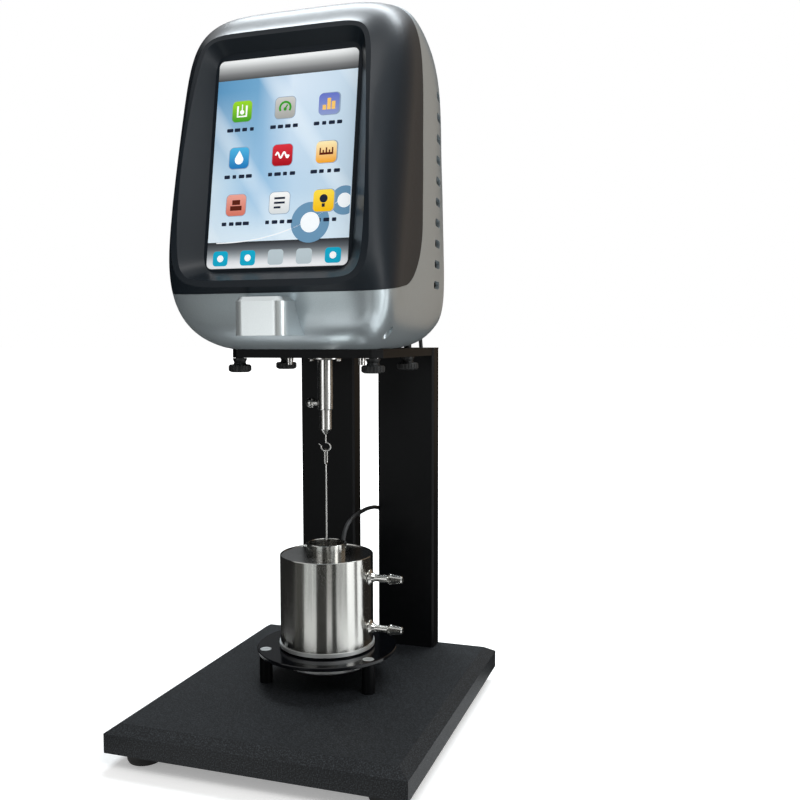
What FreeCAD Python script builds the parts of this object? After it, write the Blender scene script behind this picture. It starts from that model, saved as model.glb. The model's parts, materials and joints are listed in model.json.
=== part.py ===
import FreeCAD, Part
import math
import os

# Rotational rheometer: a leaning touch-screen head on a black stand, with a rotor
# that hangs in a jacketed sample cup. Millimetres, +Z up, front towards -Y.
# The origin is the middle of the base, on the surface that the feet stand on.

V = FreeCAD.Vector
X_AXIS, Y_AXIS, Z_AXIS = V(1, 0, 0), V(0, 1, 0), V(0, 0, 1)

# Stand
FOOT_HEIGHT = 11.0
FOOT_RADIUS = 13.0
FOOT_INSET = 20.0
BASE_WIDTH = 220.0
BASE_DEPTH = 252.0
BASE_THICKNESS = 19.0
BASE_BEVEL_WIDTH = 8.5
BASE_BEVEL_HEIGHT = 5.3
COLUMN_WIDTH = 50.0
COLUMN_THICKNESS = 17.0
COLUMN_SPACE = 22.0
COLUMN_REAR_INSET = 8.0
COLUMN_EDGE = 1.6
STAND_HEIGHT = 258.0
PLATE_WIDTH = 120.0
PLATE_THICKNESS = 6.5
PLATE_FRONT = -32.0
PLATE_CORNER = 6.5
M6_RADIUS, M6_CLEAR, M6_HEAD_RADIUS, M6_HEAD_HEIGHT = 3.0, 3.3, 5.0, 6.0
M4_RADIUS, M4_CLEAR, M4_HEAD_RADIUS, M4_HEAD_HEIGHT = 2.0, 2.25, 3.5, 4.0
M3_RADIUS, M3_HEAD_RADIUS, M3_HEAD_HEIGHT = 1.5, 2.8, 2.0
THREAD_GAP = 0.05
FIT_GAP = 0.3
HEAD_SCREW_X = 30.0

# Thumb screws that hold the head down
THUMB_X = 53.0
THUMB_Y = (-27.5, 54.0)
THUMB_DISC_RADIUS = 8.5
THUMB_DISC_HEIGHT = 6.0
THUMB_NECK_RADIUS = 5.2
THUMB_NECK_HEIGHT = 4.5
THUMB_FLUTES = 20

# Spindle axis, water jacket and tray
SPINDLE_Y = 11.0
TRAY_RADIUS = 54.5
TRAY_THICKNESS = 3.0
TRAY_TOP = 55.8
TRAY_SEAT = 1.3
TRAY_SCREW_CIRCLE = 48.2
TRAY_SCREW_ANGLES = (92.0, 212.0, 332.0)
STANDOFF_RADIUS = 5.0
JACKET_RADIUS = 36.35
JACKET_WALL = 2.0
JACKET_LIP_RADIUS = 37.3
JACKET_LIP_HEIGHT = 2.7
JACKET_HEIGHT = 68.7
JACKET_LID = 3.0
SPIGOT_RADIUS = 34.0
SPIGOT_DEPTH = 14.5
CUP_RADIUS = 15.65
CUP_BORE = 13.8
CUP_FLOOR = 3.0
CUP_RISE = 8.5
CUP_SLIDE = 0.1
WELL_WALL = 2.0
BARB_HEIGHTS = (72.5, 112.0)
BARB_STEM_RADIUS = 2.7
BARB_RADIUS = 4.3
BARB_BORE = 1.6
BARB_LENGTH = 12.0
BARB_REACH = 62.5
PORT_RADIUS = 4.0

# Spindle line
SLEEVE_RADIUS = 6.0
SLEEVE_LENGTH = 38.7
SHAFT_RADIUS = 4.0
SHAFT_TOP = 380.0
FLANGE_RADIUS = 13.3
FLANGE_SCREW_CIRCLE = 11.3
ADAPTER_RADIUS = 4.95
ADAPTER_LENGTH = 16.0
ADAPTER_STEM = 12.0
CLAMP_HEIGHT = 246.0
CLAMP_REACH = 12.2
CLAMP_BALL = 4.2
CLAMP_NECK = 2.2
WIRE_RADIUS = 0.6
HOOK_RADIUS = 3.2
HOOK_CENTRE = 212.0
HOOK_SEAT = 1.4
LOOP_HALF_WIDTH = 2.4
LOOP_STRAIGHT = 7.0
ROD_RADIUS = 0.75
BOB_RADIUS = 12.55
BOB_BOTTOM_GAP = 4.4
BOB_LENGTH = 64.0

# Drive train inside the head, heights above the head's floor
GEAR_MODULE = 1.0
SPINDLE_TEETH = 48
PINION_TEETH = 16
GEAR_WIDTH = 5.0
GEAR_HEIGHT = 34.0
GEAR_BACKLASH = 0.3
CHASSIS_THICKNESS = 5.0
CHASSIS_WIDTH = 118.0
BRACKET_HEIGHT = 46.0
BRACKET_THICKNESS = 3.0
MOTOR_SIDE = 42.0
MOTOR_HEIGHT = 34.0
MOTOR_SHAFT_RADIUS = 2.5
BEARING_RADIUS = 8.0
BEARING_WIDTH = 5.0
HOUSING_RADIUS = 9.9
SPRING_RADIUS = 10.0
SPRING_STRIP = 0.4
ENCODER_RADIUS = 16.0
ENCODER_SLOTS = 24

# Head: slices from front to back as
# (y at the reference height, lean, low and high half width, low and high edge,
#  roundness of the low and high corners), heights above the top plate
HEAD_WALL = 3.0
HEAD_REFERENCE = 53.0
HEAD_FRONT_SLICE = (-98.0, 0.185, 68.0, 59.0, 46.5, 214.5, 7.0, 9.0)
HEAD_RIM_SLICE = (-88.0, 0.185, 74.5, 64.5, 42.0, 220.0, 7.0, 9.0)
HEAD_BODY_SLICES = (
    (-70.9, 0.184, 84.0, 81.9, 18.9, 236.8, 7.0, 5.5),
    (-44.4, 0.168, 81.4, 85.6, 2.0, 246.3, 7.0, 5.5),
    (-5.8, 0.069, 79.0, 84.8, -2.3, 251.4, 7.0, 5.5),
    (51.7, 0.0, 77.2, 80.4, 1.0, 244.2, 7.0, 5.5),
    (82.6, -0.045, 76.0, 73.0, 9.2, 231.0, 7.0, 5.5),
)
HEAD_POINTS = 40
FACE_LOW_Y, FACE_LOW_Z = -91.0, 35.0
FACE_HIGH_Y, FACE_HIGH_Z = -56.5, 219.0
FACE_BULGE = 7.3

# Seam between the black bezel and the silver shell, seen from the side
SEAM_LOW_Y, SEAM_LOW_Z = -91.0, 37.7
SEAM_RISE = 0.12
SEAM_BACK_Y = 5.4
SEAM_LEAN = -0.072
SEAM_CORNER = 46.0
SEAM_GAP = 0.15

# Screen, leaning back
SCREEN_LEAN = 9.46
SCREEN_WIDTH = 105.2
SCREEN_HEIGHT = 149.2
SCREEN_Y, SCREEN_Z = -75.9, 55.8
SCREEN_CORNER = 4.0
GLASS_THICKNESS = 2.0
FLOOR_THICKNESS = 4.0
POCKET_MARGIN = 2.7
POCKET_TOP_MARGIN = 5.0
POCKET_REACH = 30.0
POCKET_MOUTH = (81.0, 71.5, 38.4, 238.0, 9.0, 9.0)
MODULE_DEPTH = 6.0
BOARD_GAP = 6.0
BOARD_THICKNESS = 1.6

# Nose under the screen, and vents near the rear corners
NOSE_HALF_WIDTH = 18.3
NOSE_FRONT = -103.4
NOSE_LOW, NOSE_HIGH = 9.5, 35.0
NOSE_CORNER = 7.0
NOSE_BEVEL = 3.0
VENT_COUNT = 10
VENT_PITCH = 15.9
VENT_FIRST = 46.0
VENT_HEIGHT = 6.0
VENT_FRONT, VENT_BACK = 42.0, 62.0

# Screws of the casing: into bosses behind the rear panel, and up through the chin into the bezel
BOSS_PLACES = ((-64.0, 34.0), (64.0, 34.0), (-62.0, 200.0), (62.0, 200.0))
BOSS_RADIUS = 5.0
BOSS_LENGTH = 14.0
BOSS_WEB = 3.0
CHIN_SCREW_X, CHIN_SCREW_Y = 71.5, -50.0
CHIN_RECESS_RADIUS = 3.6
CHIN_SEAT, CHIN_BOSS_TOP = 19.0, 24.0
CHIN_POST_TOP, CHIN_LUG_LOW = 58.0, 46.0
CHIN_POST_RADIUS = 3.0

# Connectors on the rear panel, heights above the top plate
PANEL_THICKNESS = 3.0
INLET_X, INLET_Z = -34.0, 42.0
INLET_WIDTH, INLET_HEIGHT, INLET_DEPTH = 24.6, 17.0, 15.0
SWITCH_X, SWITCH_Z = -34.0, 82.0
ROCKER_RADIUS = 10.0
ROCKER_WIDTH = 12.8
ROCKER_TILT = 7.0
DATA_X, DATA_Z = 30.0, 82.0
SOCKET_X, SOCKET_Z = 36.0, 40.0
PLUG_LENGTH = 28.0

# Temperature probe and its cable
PROBE_X, PROBE_Y = 5.5, 31.5
PROBE_RADIUS = 1.6
CABLE_RADIUS = 1.7
PROBE_TOP = 133.4
PROBE_AIM = (6.3, 34.0, 144.2)
PROBE_DEPTH = 60.0

# Heights and places that follow from the sizes above
BASE_TOP = FOOT_HEIGHT + BASE_THICKNESS
HEAD_Z = BASE_TOP + STAND_HEIGHT
PLATE_LOW = HEAD_Z - PLATE_THICKNESS
COLUMN_REAR = BASE_DEPTH / 2 - COLUMN_REAR_INSET
COLUMN_FRONT = COLUMN_REAR - COLUMN_THICKNESS
COLUMN_X = (COLUMN_SPACE + COLUMN_WIDTH) / 2
TRAY_LOW = TRAY_TOP - TRAY_THICKNESS
LIP_LOW = TRAY_TOP + TRAY_SEAT
LIP_HIGH = LIP_LOW + JACKET_LIP_HEIGHT
JACKET_TOP = LIP_HIGH + JACKET_HEIGHT
LID_TOP = JACKET_TOP - 0.5
LID_LOW = LID_TOP - JACKET_LID
SPIGOT_LOW = LIP_LOW - SPIGOT_DEPTH
CUP_TOP = JACKET_TOP + CUP_RISE
WELL_RADIUS = CUP_RADIUS + CUP_SLIDE
CUP_LOW = SPIGOT_LOW + JACKET_LID + 1.0
BOB_LOW = CUP_LOW + CUP_FLOOR + BOB_BOTTOM_GAP
BOB_HIGH = BOB_LOW + BOB_LENGTH
SLEEVE_TOP = PLATE_LOW - 1.8
SLEEVE_LOW = SLEEVE_TOP - SLEEVE_LENGTH
ADAPTER_LOW = SLEEVE_LOW - ADAPTER_LENGTH
CHASSIS_LOW = HEAD_Z + HEAD_WALL
CHASSIS_TOP = CHASSIS_LOW + CHASSIS_THICKNESS
GEAR_LOW = HEAD_Z + GEAR_HEIGHT
BRACKET_LOW = HEAD_Z + BRACKET_HEIGHT
BRACKET_TOP = BRACKET_LOW + BRACKET_THICKNESS
MOTOR_TOP = BRACKET_TOP + MOTOR_HEIGHT
MOTOR_Y = SPINDLE_Y + GEAR_MODULE * (SPINDLE_TEETH + PINION_TEETH) / 2
ENCODER_LOW = MOTOR_TOP + 4.0
SPRING_LOW = GEAR_LOW + GEAR_WIDTH + 1.0
FACE_LEAN = math.tan(math.radians(SCREEN_LEAN))

PARTS = {}


def keep(name, *solids):
    """Store one node; several solids make a group."""
    PARTS[name] = solids[0] if len(solids) == 1 else Part.makeCompound(list(solids))


def box(x0, x1, y0, y1, z0, z1):
    return Part.makeBox(x1 - x0, y1 - y0, z1 - z0, V(x0, y0, z0))


def rod(radius, start, axis, length):
    return Part.makeCylinder(radius, length, V(*start), axis)


def post(x, y, low, high, radius):
    return rod(radius, (x, y, low), Z_AXIS, high - low)


def turned(profile, x=0.0, y=SPINDLE_Y):
    """Solid of revolution about a vertical line; the profile is (radius, height) points."""
    wire = Part.makePolygon([V(r, 0, z) for r, z in profile + profile[:1]])
    solid = Part.Face(wire).revolve(V(0, 0, 0), Z_AXIS, 360)
    solid.translate(V(x, y, 0))
    return solid


def turned_along(profile, start, axis):
    """Solid of revolution about a line through start; the profile is (radius, distance)."""
    wire = Part.makePolygon([V(r, 0, d) for r, d in profile + profile[:1]])
    solid = Part.Face(wire).revolve(V(0, 0, 0), Z_AXIS, 360)
    solid.Placement = FreeCAD.Placement(V(*start), FreeCAD.Rotation(Z_AXIS, axis))
    return solid


def rounded_block(width, height, depth, corner):
    """Block with rounded corners in X and Z, its front face at y = 0, its low edge at z = 0."""
    block = box(-width / 2, width / 2, 0, depth, 0, height)
    edges = [e for e in block.Edges if abs(e.tangentAt(e.FirstParameter).y) > 0.99]
    return block.makeFillet(corner, edges)


def cap_screw(x, y, z, direction, shank, head_radius, head_height, length):
    """Socket head screw: z is the seat of the head, the shank points along direction."""
    head = rod(head_radius, (x, y, z), direction * -1, head_height)
    head = head.cut(rod(head_radius * 0.5, V(x, y, z) - direction * (head_height + 1),
                        direction, head_height * 0.5 + 1))
    return head.fuse(rod(shank, (x, y, z), direction, length)).removeSplitter()


# Stand: base plate, feet, columns and top plate

def foot_places():
    x = BASE_WIDTH / 2 - FOOT_INSET
    y = BASE_DEPTH / 2 - FOOT_INSET
    return [(sx * x, sy * y) for sx in (-1, 1) for sy in (-1, 1)]


def column_bolt_places(side):
    y = (COLUMN_FRONT + COLUMN_REAR) / 2
    return [(side * COLUMN_X - COLUMN_WIDTH / 4, y), (side * COLUMN_X + COLUMN_WIDTH / 4, y)]


def tray_places():
    spots = []
    for angle in TRAY_SCREW_ANGLES:
        a = math.radians(angle)
        spots.append((TRAY_SCREW_CIRCLE * math.cos(a), SPINDLE_Y + TRAY_SCREW_CIRCLE * math.sin(a)))
    return spots


def make_base():
    half_w, half_d = BASE_WIDTH / 2, BASE_DEPTH / 2
    edge_top = BASE_TOP - BASE_BEVEL_HEIGHT
    slab = box(-half_w, half_w, -half_d, half_d, FOOT_HEIGHT, edge_top)

    def rectangle(inset, z):
        w, d = half_w - inset, half_d - inset
        corners = [(-w, -d), (w, -d), (w, d), (-w, d), (-w, -d)]
        return Part.makePolygon([V(x, y, z) for x, y in corners])

    bevel = Part.makeLoft([rectangle(0, edge_top), rectangle(BASE_BEVEL_WIDTH, BASE_TOP)], True, True)
    base = slab.fuse(bevel).removeSplitter()
    for side in (-1, 1):
        for x, y in column_bolt_places(side):
            base = base.cut(post(x, y, FOOT_HEIGHT - 1, BASE_TOP + 1, M6_CLEAR))
            base = base.cut(post(x, y, FOOT_HEIGHT - 1, FOOT_HEIGHT + 8, M6_HEAD_RADIUS + 0.5))
    for x, y in tray_places():
        base = base.cut(post(x, y, BASE_TOP - 12, BASE_TOP + 1, M4_RADIUS + THREAD_GAP))
    for x, y in foot_places():
        base = base.cut(post(x, y, FOOT_HEIGHT - 1, FOOT_HEIGHT + 10, M4_RADIUS + THREAD_GAP))
    keep("base_plate", base)


def make_feet():
    feet, screws = [], []
    recess = 4.5
    for x, y in foot_places():
        feet.append(turned([
            (M4_CLEAR, recess), (6.0, recess), (6.0, 0), (FOOT_RADIUS - 3.5, 0),
            (FOOT_RADIUS - 1.6, 0.9), (FOOT_RADIUS - 0.6, 3.0), (FOOT_RADIUS, FOOT_HEIGHT),
            (M4_CLEAR, FOOT_HEIGHT)], x, y))
        screws.append(cap_screw(x, y, recess, Z_AXIS, M4_RADIUS, M4_HEAD_RADIUS, 3.0,
                                FOOT_HEIGHT - recess + 8))
    keep("rubber_feet", *feet)
    keep("foot_screws", *screws)


def plate_screw_places(side):
    z = HEAD_Z - PLATE_THICKNESS / 2
    return [(side * COLUMN_X - COLUMN_WIDTH / 4, z), (side * COLUMN_X + COLUMN_WIDTH / 4, z)]


def make_columns():
    bolts, screws = [], []
    for side, name in ((-1, "column_left"), (1, "column_right")):
        x0 = side * COLUMN_X - COLUMN_WIDTH / 2
        bar = box(x0, x0 + COLUMN_WIDTH, COLUMN_FRONT, COLUMN_REAR, BASE_TOP, HEAD_Z)
        edges = [e for e in bar.Edges if abs(e.tangentAt(e.FirstParameter).z) > 0.99]
        bar = bar.makeChamfer(COLUMN_EDGE, edges)
        for x, y in column_bolt_places(side):
            bar = bar.cut(post(x, y, BASE_TOP - 1, BASE_TOP + 18, M6_RADIUS + THREAD_GAP))
            bolts.append(cap_screw(x, y, FOOT_HEIGHT + 8, Z_AXIS, M6_RADIUS, M6_HEAD_RADIUS,
                                   M6_HEAD_HEIGHT, BASE_TOP + 16 - FOOT_HEIGHT - 8))
        for x, z in plate_screw_places(side):
            through = rod(M4_CLEAR, (x, COLUMN_FRONT - 1, z), Y_AXIS, COLUMN_THICKNESS + 2)
            seat = rod(M4_CLEAR, (x, COLUMN_REAR - M4_HEAD_HEIGHT, z), Y_AXIS, 10)
            bar = bar.cut(through).cut(seat)
            screws.append(rod(M4_RADIUS, (x, COLUMN_FRONT - 14, z), Y_AXIS,
                              COLUMN_THICKNESS + 14 - 0.5))
        keep(name, bar)
    keep("column_bolts", *bolts)
    keep("plate_screws", *screws)


def thumb_places():
    return {"front_left": (-THUMB_X, THUMB_Y[0]), "front_right": (THUMB_X, THUMB_Y[0]),
            "rear_left": (-THUMB_X, THUMB_Y[1]), "rear_right": (THUMB_X, THUMB_Y[1])}


def make_top_plate():
    half = PLATE_WIDTH / 2
    plate = box(-half, half, PLATE_FRONT, COLUMN_FRONT, PLATE_LOW, HEAD_Z)
    corners = [e for e in plate.Edges if abs(e.tangentAt(e.FirstParameter).z) > 0.99
               and e.CenterOfMass.y < 0]
    plate = plate.makeChamfer(PLATE_CORNER, corners)
    plate = plate.cut(post(0, SPINDLE_Y, PLATE_LOW - 1, HEAD_Z + 1, HOUSING_RADIUS + 0.1))
    for x, y in thumb_places().values():
        plate = plate.cut(post(x, y, PLATE_LOW - 1, HEAD_Z + 1, M6_CLEAR))
    for side in (-1, 1):
        for x, z in plate_screw_places(side):
            plate = plate.cut(rod(M4_RADIUS + THREAD_GAP, (x, COLUMN_FRONT - 15, z), Y_AXIS, 16))
        plate = plate.cut(post(side * HEAD_SCREW_X, SPINDLE_Y, PLATE_LOW - 1, HEAD_Z + 1, M4_CLEAR))
    for x, y in flange_screw_places():
        plate = plate.cut(post(x, y, PLATE_LOW - 1, PLATE_LOW + 5, M3_RADIUS * 0.67 + THREAD_GAP))
    keep("top_plate", plate)


def make_head_screws():
    """Two long screws from under the plate, on spacers, into the head's chassis."""
    screws = []
    seat = PLATE_LOW - 3.0
    for side in (-1, 1):
        screw = cap_screw(side * HEAD_SCREW_X, SPINDLE_Y, seat, Z_AXIS, M4_RADIUS, 2.6, 3.0,
                          CHASSIS_TOP - seat - 0.5)
        screws.append(screw.fuse(post(side * HEAD_SCREW_X, SPINDLE_Y, seat, PLATE_LOW, 3.0)))
    keep("head_screws", *screws)


def make_thumb_screws():
    top = PLATE_LOW - FIT_GAP
    neck_low = top - THUMB_NECK_HEIGHT
    disc_low = neck_low - THUMB_DISC_HEIGHT
    r, n = THUMB_DISC_RADIUS, THUMB_NECK_RADIUS
    for place, (x, y) in thumb_places().items():
        knob = turned([(0, disc_low), (r - 2.2, disc_low), (r - 0.6, disc_low + 0.8),
                       (r, disc_low + 1.6), (r, neck_low - 1.4), (r - 1.0, neck_low - 0.3),
                       (n - 0.4, neck_low), (n - 0.9, neck_low + 1.4), (n, top - 1.0),
                       (n, top), (0, top)], x, y)
        flutes = []
        for i in range(THUMB_FLUTES):
            a = 2 * math.pi * i / THUMB_FLUTES
            flutes.append(post(x + (r + 0.35) * math.cos(a), y + (r + 0.35) * math.sin(a),
                               disc_low - 1, neck_low + 1, 0.9))
        knob = knob.cut(flutes)
        stud = post(x, y, top - 1, CHASSIS_TOP - 0.5, M6_RADIUS)
        keep("thumb_screw_" + place, knob.fuse(stud).removeSplitter())


# Sample unit: tray, jacket, cup, barbs

def make_tray():
    bore = SPIGOT_RADIUS + 0.15
    ring = turned([(bore, TRAY_LOW), (TRAY_RADIUS - 0.5, TRAY_LOW), (TRAY_RADIUS, TRAY_LOW + 0.5),
                   (TRAY_RADIUS, TRAY_TOP - 0.5), (TRAY_RADIUS - 0.5, TRAY_TOP),
                   (bore + 1.4, TRAY_TOP), (bore + 1.4, LIP_LOW), (bore, LIP_LOW)])
    posts, screws = [], []
    for x, y in tray_places():
        ring = ring.cut(post(x, y, TRAY_LOW - 1, TRAY_TOP + 1, M4_CLEAR))
        ring = ring.cut(Part.makeCone(M4_CLEAR, 4.6, 2.2, V(x, y, TRAY_TOP - 2.2)))
        posts.append(turned([(0, BASE_TOP - 11), (M4_RADIUS, BASE_TOP - 11), (M4_RADIUS, BASE_TOP),
                             (STANDOFF_RADIUS, BASE_TOP), (STANDOFF_RADIUS, TRAY_LOW),
                             (M4_RADIUS + THREAD_GAP, TRAY_LOW),
                             (M4_RADIUS + THREAD_GAP, TRAY_LOW - 9), (0, TRAY_LOW - 9)], x, y))
        screw = turned([(0, TRAY_LOW - 8), (M4_RADIUS, TRAY_LOW - 8), (M4_RADIUS, TRAY_TOP - 2.1),
                        (4.4, TRAY_TOP - 0.1), (0, TRAY_TOP - 0.1)], x, y)
        slot = box(x - 4.5, x + 4.5, y - 0.5, y + 0.5, TRAY_TOP - 1.2, TRAY_TOP + 1)
        slot.rotate(V(x, y, 0), Z_AXIS, 35)
        screws.append(screw.cut(slot))
    keep("tray_ring", ring)
    keep("tray_standoffs", *posts)
    keep("tray_screws", *screws)


def make_jacket():
    inner = JACKET_RADIUS - JACKET_WALL
    shell = turned([(inner, LIP_HIGH), (JACKET_RADIUS, LIP_HIGH), (JACKET_RADIUS, JACKET_TOP - 0.4),
                    (JACKET_RADIUS - 0.4, JACKET_TOP), (JACKET_RADIUS - 1.1, JACKET_TOP),
                    (JACKET_RADIUS - 1.5, LID_TOP), (WELL_RADIUS, LID_TOP),
                    (WELL_RADIUS, LID_LOW), (inner, LID_LOW)])
    for z in BARB_HEIGHTS:
        shell = shell.cut(rod(PORT_RADIUS, (inner - 2, SPINDLE_Y, z), X_AXIS, JACKET_WALL + 4))
    shell = shell.cut(post(PROBE_X, PROBE_Y, LID_LOW - 1, JACKET_TOP + 1, PROBE_RADIUS + 0.05))
    keep("jacket_shell", shell)

    well = WELL_RADIUS + WELL_WALL
    floor_top = SPIGOT_LOW + JACKET_LID
    keep("jacket_base", turned([
        (0, SPIGOT_LOW), (SPIGOT_RADIUS - 1, SPIGOT_LOW), (SPIGOT_RADIUS, SPIGOT_LOW + 1),
        (SPIGOT_RADIUS, LIP_LOW), (JACKET_LIP_RADIUS, LIP_LOW), (JACKET_LIP_RADIUS, LIP_HIGH),
        (SPIGOT_RADIUS - 3, LIP_HIGH), (SPIGOT_RADIUS - 3, floor_top), (well, floor_top),
        (well, LID_LOW), (WELL_RADIUS, LID_LOW), (WELL_RADIUS, CUP_LOW), (0, CUP_LOW)]))


def make_cup():
    keep("sample_cup", turned([
        (0, CUP_LOW), (CUP_RADIUS - 1, CUP_LOW), (CUP_RADIUS, CUP_LOW + 1),
        (CUP_RADIUS, CUP_TOP - 0.4), (CUP_RADIUS - 0.4, CUP_TOP), (CUP_BORE + 0.3, CUP_TOP),
        (CUP_BORE, CUP_TOP - 0.4), (CUP_BORE, CUP_LOW + CUP_FLOOR), (0, CUP_LOW + CUP_FLOOR)]))


def make_barbs():
    wall_in = JACKET_RADIUS - JACKET_WALL
    stem_start = JACKET_RADIUS + 4.0
    barb_start = BARB_REACH - BARB_LENGTH
    outside = post(0, SPINDLE_Y, 0, HEAD_Z, JACKET_RADIUS)
    for name, z in zip(("hose_barb_lower", "hose_barb_upper"), BARB_HEIGHTS):
        start = (0, SPINDLE_Y, z)
        spout = turned_along([
            (BARB_BORE, JACKET_RADIUS - 2), (6.2, JACKET_RADIUS - 2), (6.2, JACKET_RADIUS + 0.4),
            (4.0, JACKET_RADIUS + 1.8), (BARB_STEM_RADIUS, stem_start), (BARB_STEM_RADIUS, barb_start),
            (BARB_RADIUS - 0.5, barb_start + 1.4), (BARB_RADIUS, barb_start + 2.6),
            (BARB_RADIUS - 0.3, barb_start + 3.8), (BARB_STEM_RADIUS + 0.2, BARB_REACH - 1.0),
            (BARB_STEM_RADIUS - 0.5, BARB_REACH), (BARB_BORE, BARB_REACH)], start, X_AXIS)
        spout = spout.cut(outside)
        stub = turned_along([(BARB_BORE, wall_in - 2), (PORT_RADIUS - THREAD_GAP, wall_in - 2),
                             (PORT_RADIUS - THREAD_GAP, JACKET_RADIUS + 0.5),
                             (BARB_BORE, JACKET_RADIUS + 0.5)], start, X_AXIS)
        keep(name, spout.fuse(stub).removeSplitter())


# Spindle line: flange, sleeve, clamp screw, hook, rotor

def flange_screw_places():
    return [(side * FLANGE_SCREW_CIRCLE, SPINDLE_Y) for side in (-1, 1)]


def make_flange():
    low = PLATE_LOW - 1.5
    hole = M3_RADIUS * 0.67
    flange = turned([(SLEEVE_RADIUS + 0.4, low), (FLANGE_RADIUS, low), (FLANGE_RADIUS, PLATE_LOW),
                     (SLEEVE_RADIUS + 0.4, PLATE_LOW)])
    screws = []
    for x, y in flange_screw_places():
        flange = flange.cut(post(x, y, low - 1, PLATE_LOW + 1, hole + 0.2))
        screws.append(cap_screw(x, y, low, Z_AXIS, hole, 1.9, 1.6, 5.5))
    keep("spindle_flange", flange)
    keep("flange_screws", *screws)


def make_sleeve():
    seat = SLEEVE_LOW + 14.0
    sleeve = turned([
        (SHAFT_RADIUS, seat), (SHAFT_RADIUS - 0.05, seat), (SHAFT_RADIUS - 0.05, SLEEVE_LOW),
        (SLEEVE_RADIUS - 0.4, SLEEVE_LOW), (SLEEVE_RADIUS, SLEEVE_LOW + 0.4),
        (SLEEVE_RADIUS, SLEEVE_TOP - 0.4), (SLEEVE_RADIUS - 0.4, SLEEVE_TOP),
        (SHAFT_RADIUS, SLEEVE_TOP)])
    hole = rod(M3_RADIUS + THREAD_GAP, (-SLEEVE_RADIUS - 1, SPINDLE_Y, CLAMP_HEIGHT), X_AXIS,
               SLEEVE_RADIUS)
    keep("coupling_sleeve", sleeve.cut(hole))
    keep("drive_shaft", post(0, SPINDLE_Y, seat, SHAFT_TOP, SHAFT_RADIUS))

    stem = SHAFT_RADIUS - 0.1
    tip = ADAPTER_LOW - 3.5
    adapter = turned([
        (0, tip), (1.2, tip), (ADAPTER_RADIUS - 0.8, ADAPTER_LOW), (ADAPTER_RADIUS, ADAPTER_LOW + 0.8),
        (ADAPTER_RADIUS, SLEEVE_LOW - 0.3), (ADAPTER_RADIUS - 0.3, SLEEVE_LOW), (stem, SLEEVE_LOW),
        (stem, SLEEVE_LOW + ADAPTER_STEM), (0, SLEEVE_LOW + ADAPTER_STEM)])
    keep("hook_adapter", adapter)

    first = math.asin(CLAMP_NECK / CLAMP_BALL)
    steps = 12
    ball = []
    for i in range(steps + 1):
        a = math.pi - (math.pi - first) * i / steps
        ball.append((CLAMP_BALL * math.sin(a), CLAMP_BALL * math.cos(a)))
    neck_end = CLAMP_REACH - SLEEVE_RADIUS - FIT_GAP
    tip_end = CLAMP_REACH - stem - FIT_GAP
    profile = [(0, -CLAMP_BALL)] + ball[1:] + [
        (CLAMP_NECK, neck_end), (M3_RADIUS, neck_end), (M3_RADIUS, tip_end - 0.5),
        (M3_RADIUS - 0.5, tip_end), (0, tip_end)]
    keep("clamp_screw", turned_along(profile, (-CLAMP_REACH, SPINDLE_Y, CLAMP_HEIGHT), X_AXIS))


def make_hook():
    """Open wire hook under the adapter: two bends with a straight seat for the rotor between
    them, its free end standing out to the left."""
    half = HOOK_SEAT / 2
    top, low = HOOK_CENTRE + HOOK_RADIUS, HOOK_CENTRE - HOOK_RADIUS
    pieces = [rod(WIRE_RADIUS, (-half, SPINDLE_Y, low), X_AXIS, HOOK_SEAT),
              rod(WIRE_RADIUS, (0, SPINDLE_Y, top), X_AXIS, half)]
    for x, sweep, turn in ((half, 180, 90), (-half, 105, 195)):
        bend = Part.makeTorus(HOOK_RADIUS, WIRE_RADIUS, V(0, 0, 0), Z_AXIS, -180, 180, sweep)
        bend.rotate(V(0, 0, 0), X_AXIS, 90)
        bend.rotate(V(0, 0, 0), Y_AXIS, turn)
        bend.translate(V(x, SPINDLE_Y, HOOK_CENTRE))
        pieces.append(bend)
    end = math.radians(165)
    start = V(-half + HOOK_RADIUS * math.cos(end), SPINDLE_Y, HOOK_CENTRE + HOOK_RADIUS * math.sin(end))
    pieces.append(rod(WIRE_RADIUS, start, V(-0.75, 0, 0.5), 2.4))
    shank = post(0, SPINDLE_Y, top, ADAPTER_LOW - 3.5, WIRE_RADIUS)
    keep("spindle_hook", shank.fuse(pieces).removeSplitter())


def make_rotor():
    """Rod with a long closed loop that hangs on the hook, and the measuring bob."""
    arc_top = HOOK_CENTRE - HOOK_RADIUS + 2 * WIRE_RADIUS + FIT_GAP - LOOP_HALF_WIDTH
    arc_low = arc_top - LOOP_STRAIGHT
    pieces = []
    for centre_z, turn in ((arc_top, 0), (arc_low, 180)):
        bend = Part.makeTorus(LOOP_HALF_WIDTH, WIRE_RADIUS, V(0, 0, 0), Z_AXIS, -180, 180, 180)
        bend.rotate(V(0, 0, 0), X_AXIS, 90)
        bend.rotate(V(0, 0, 0), Y_AXIS, turn)
        bend.rotate(V(0, 0, 0), Z_AXIS, 90)
        bend.translate(V(0, SPINDLE_Y, centre_z))
        pieces.append(bend)
    for side in (-1, 1):
        pieces.append(post(0, SPINDLE_Y + side * LOOP_HALF_WIDTH, arc_low, arc_top, WIRE_RADIUS))
    loop_low = arc_low - LOOP_HALF_WIDTH
    rod_low = BOB_HIGH - 6.0
    stem = post(0, SPINDLE_Y, rod_low, loop_low, ROD_RADIUS)
    keep("rotor_rod", stem.fuse(pieces).removeSplitter())

    keep("rotor_bob", turned([
        (0, BOB_LOW), (BOB_RADIUS - 1.5, BOB_LOW), (BOB_RADIUS, BOB_LOW + 1.5),
        (BOB_RADIUS, BOB_HIGH - 4.5), (4.0, BOB_HIGH), (ROD_RADIUS + 0.03, BOB_HIGH),
        (ROD_RADIUS + 0.03, rod_low), (0, rod_low)]))


# Drive train in the head

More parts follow.
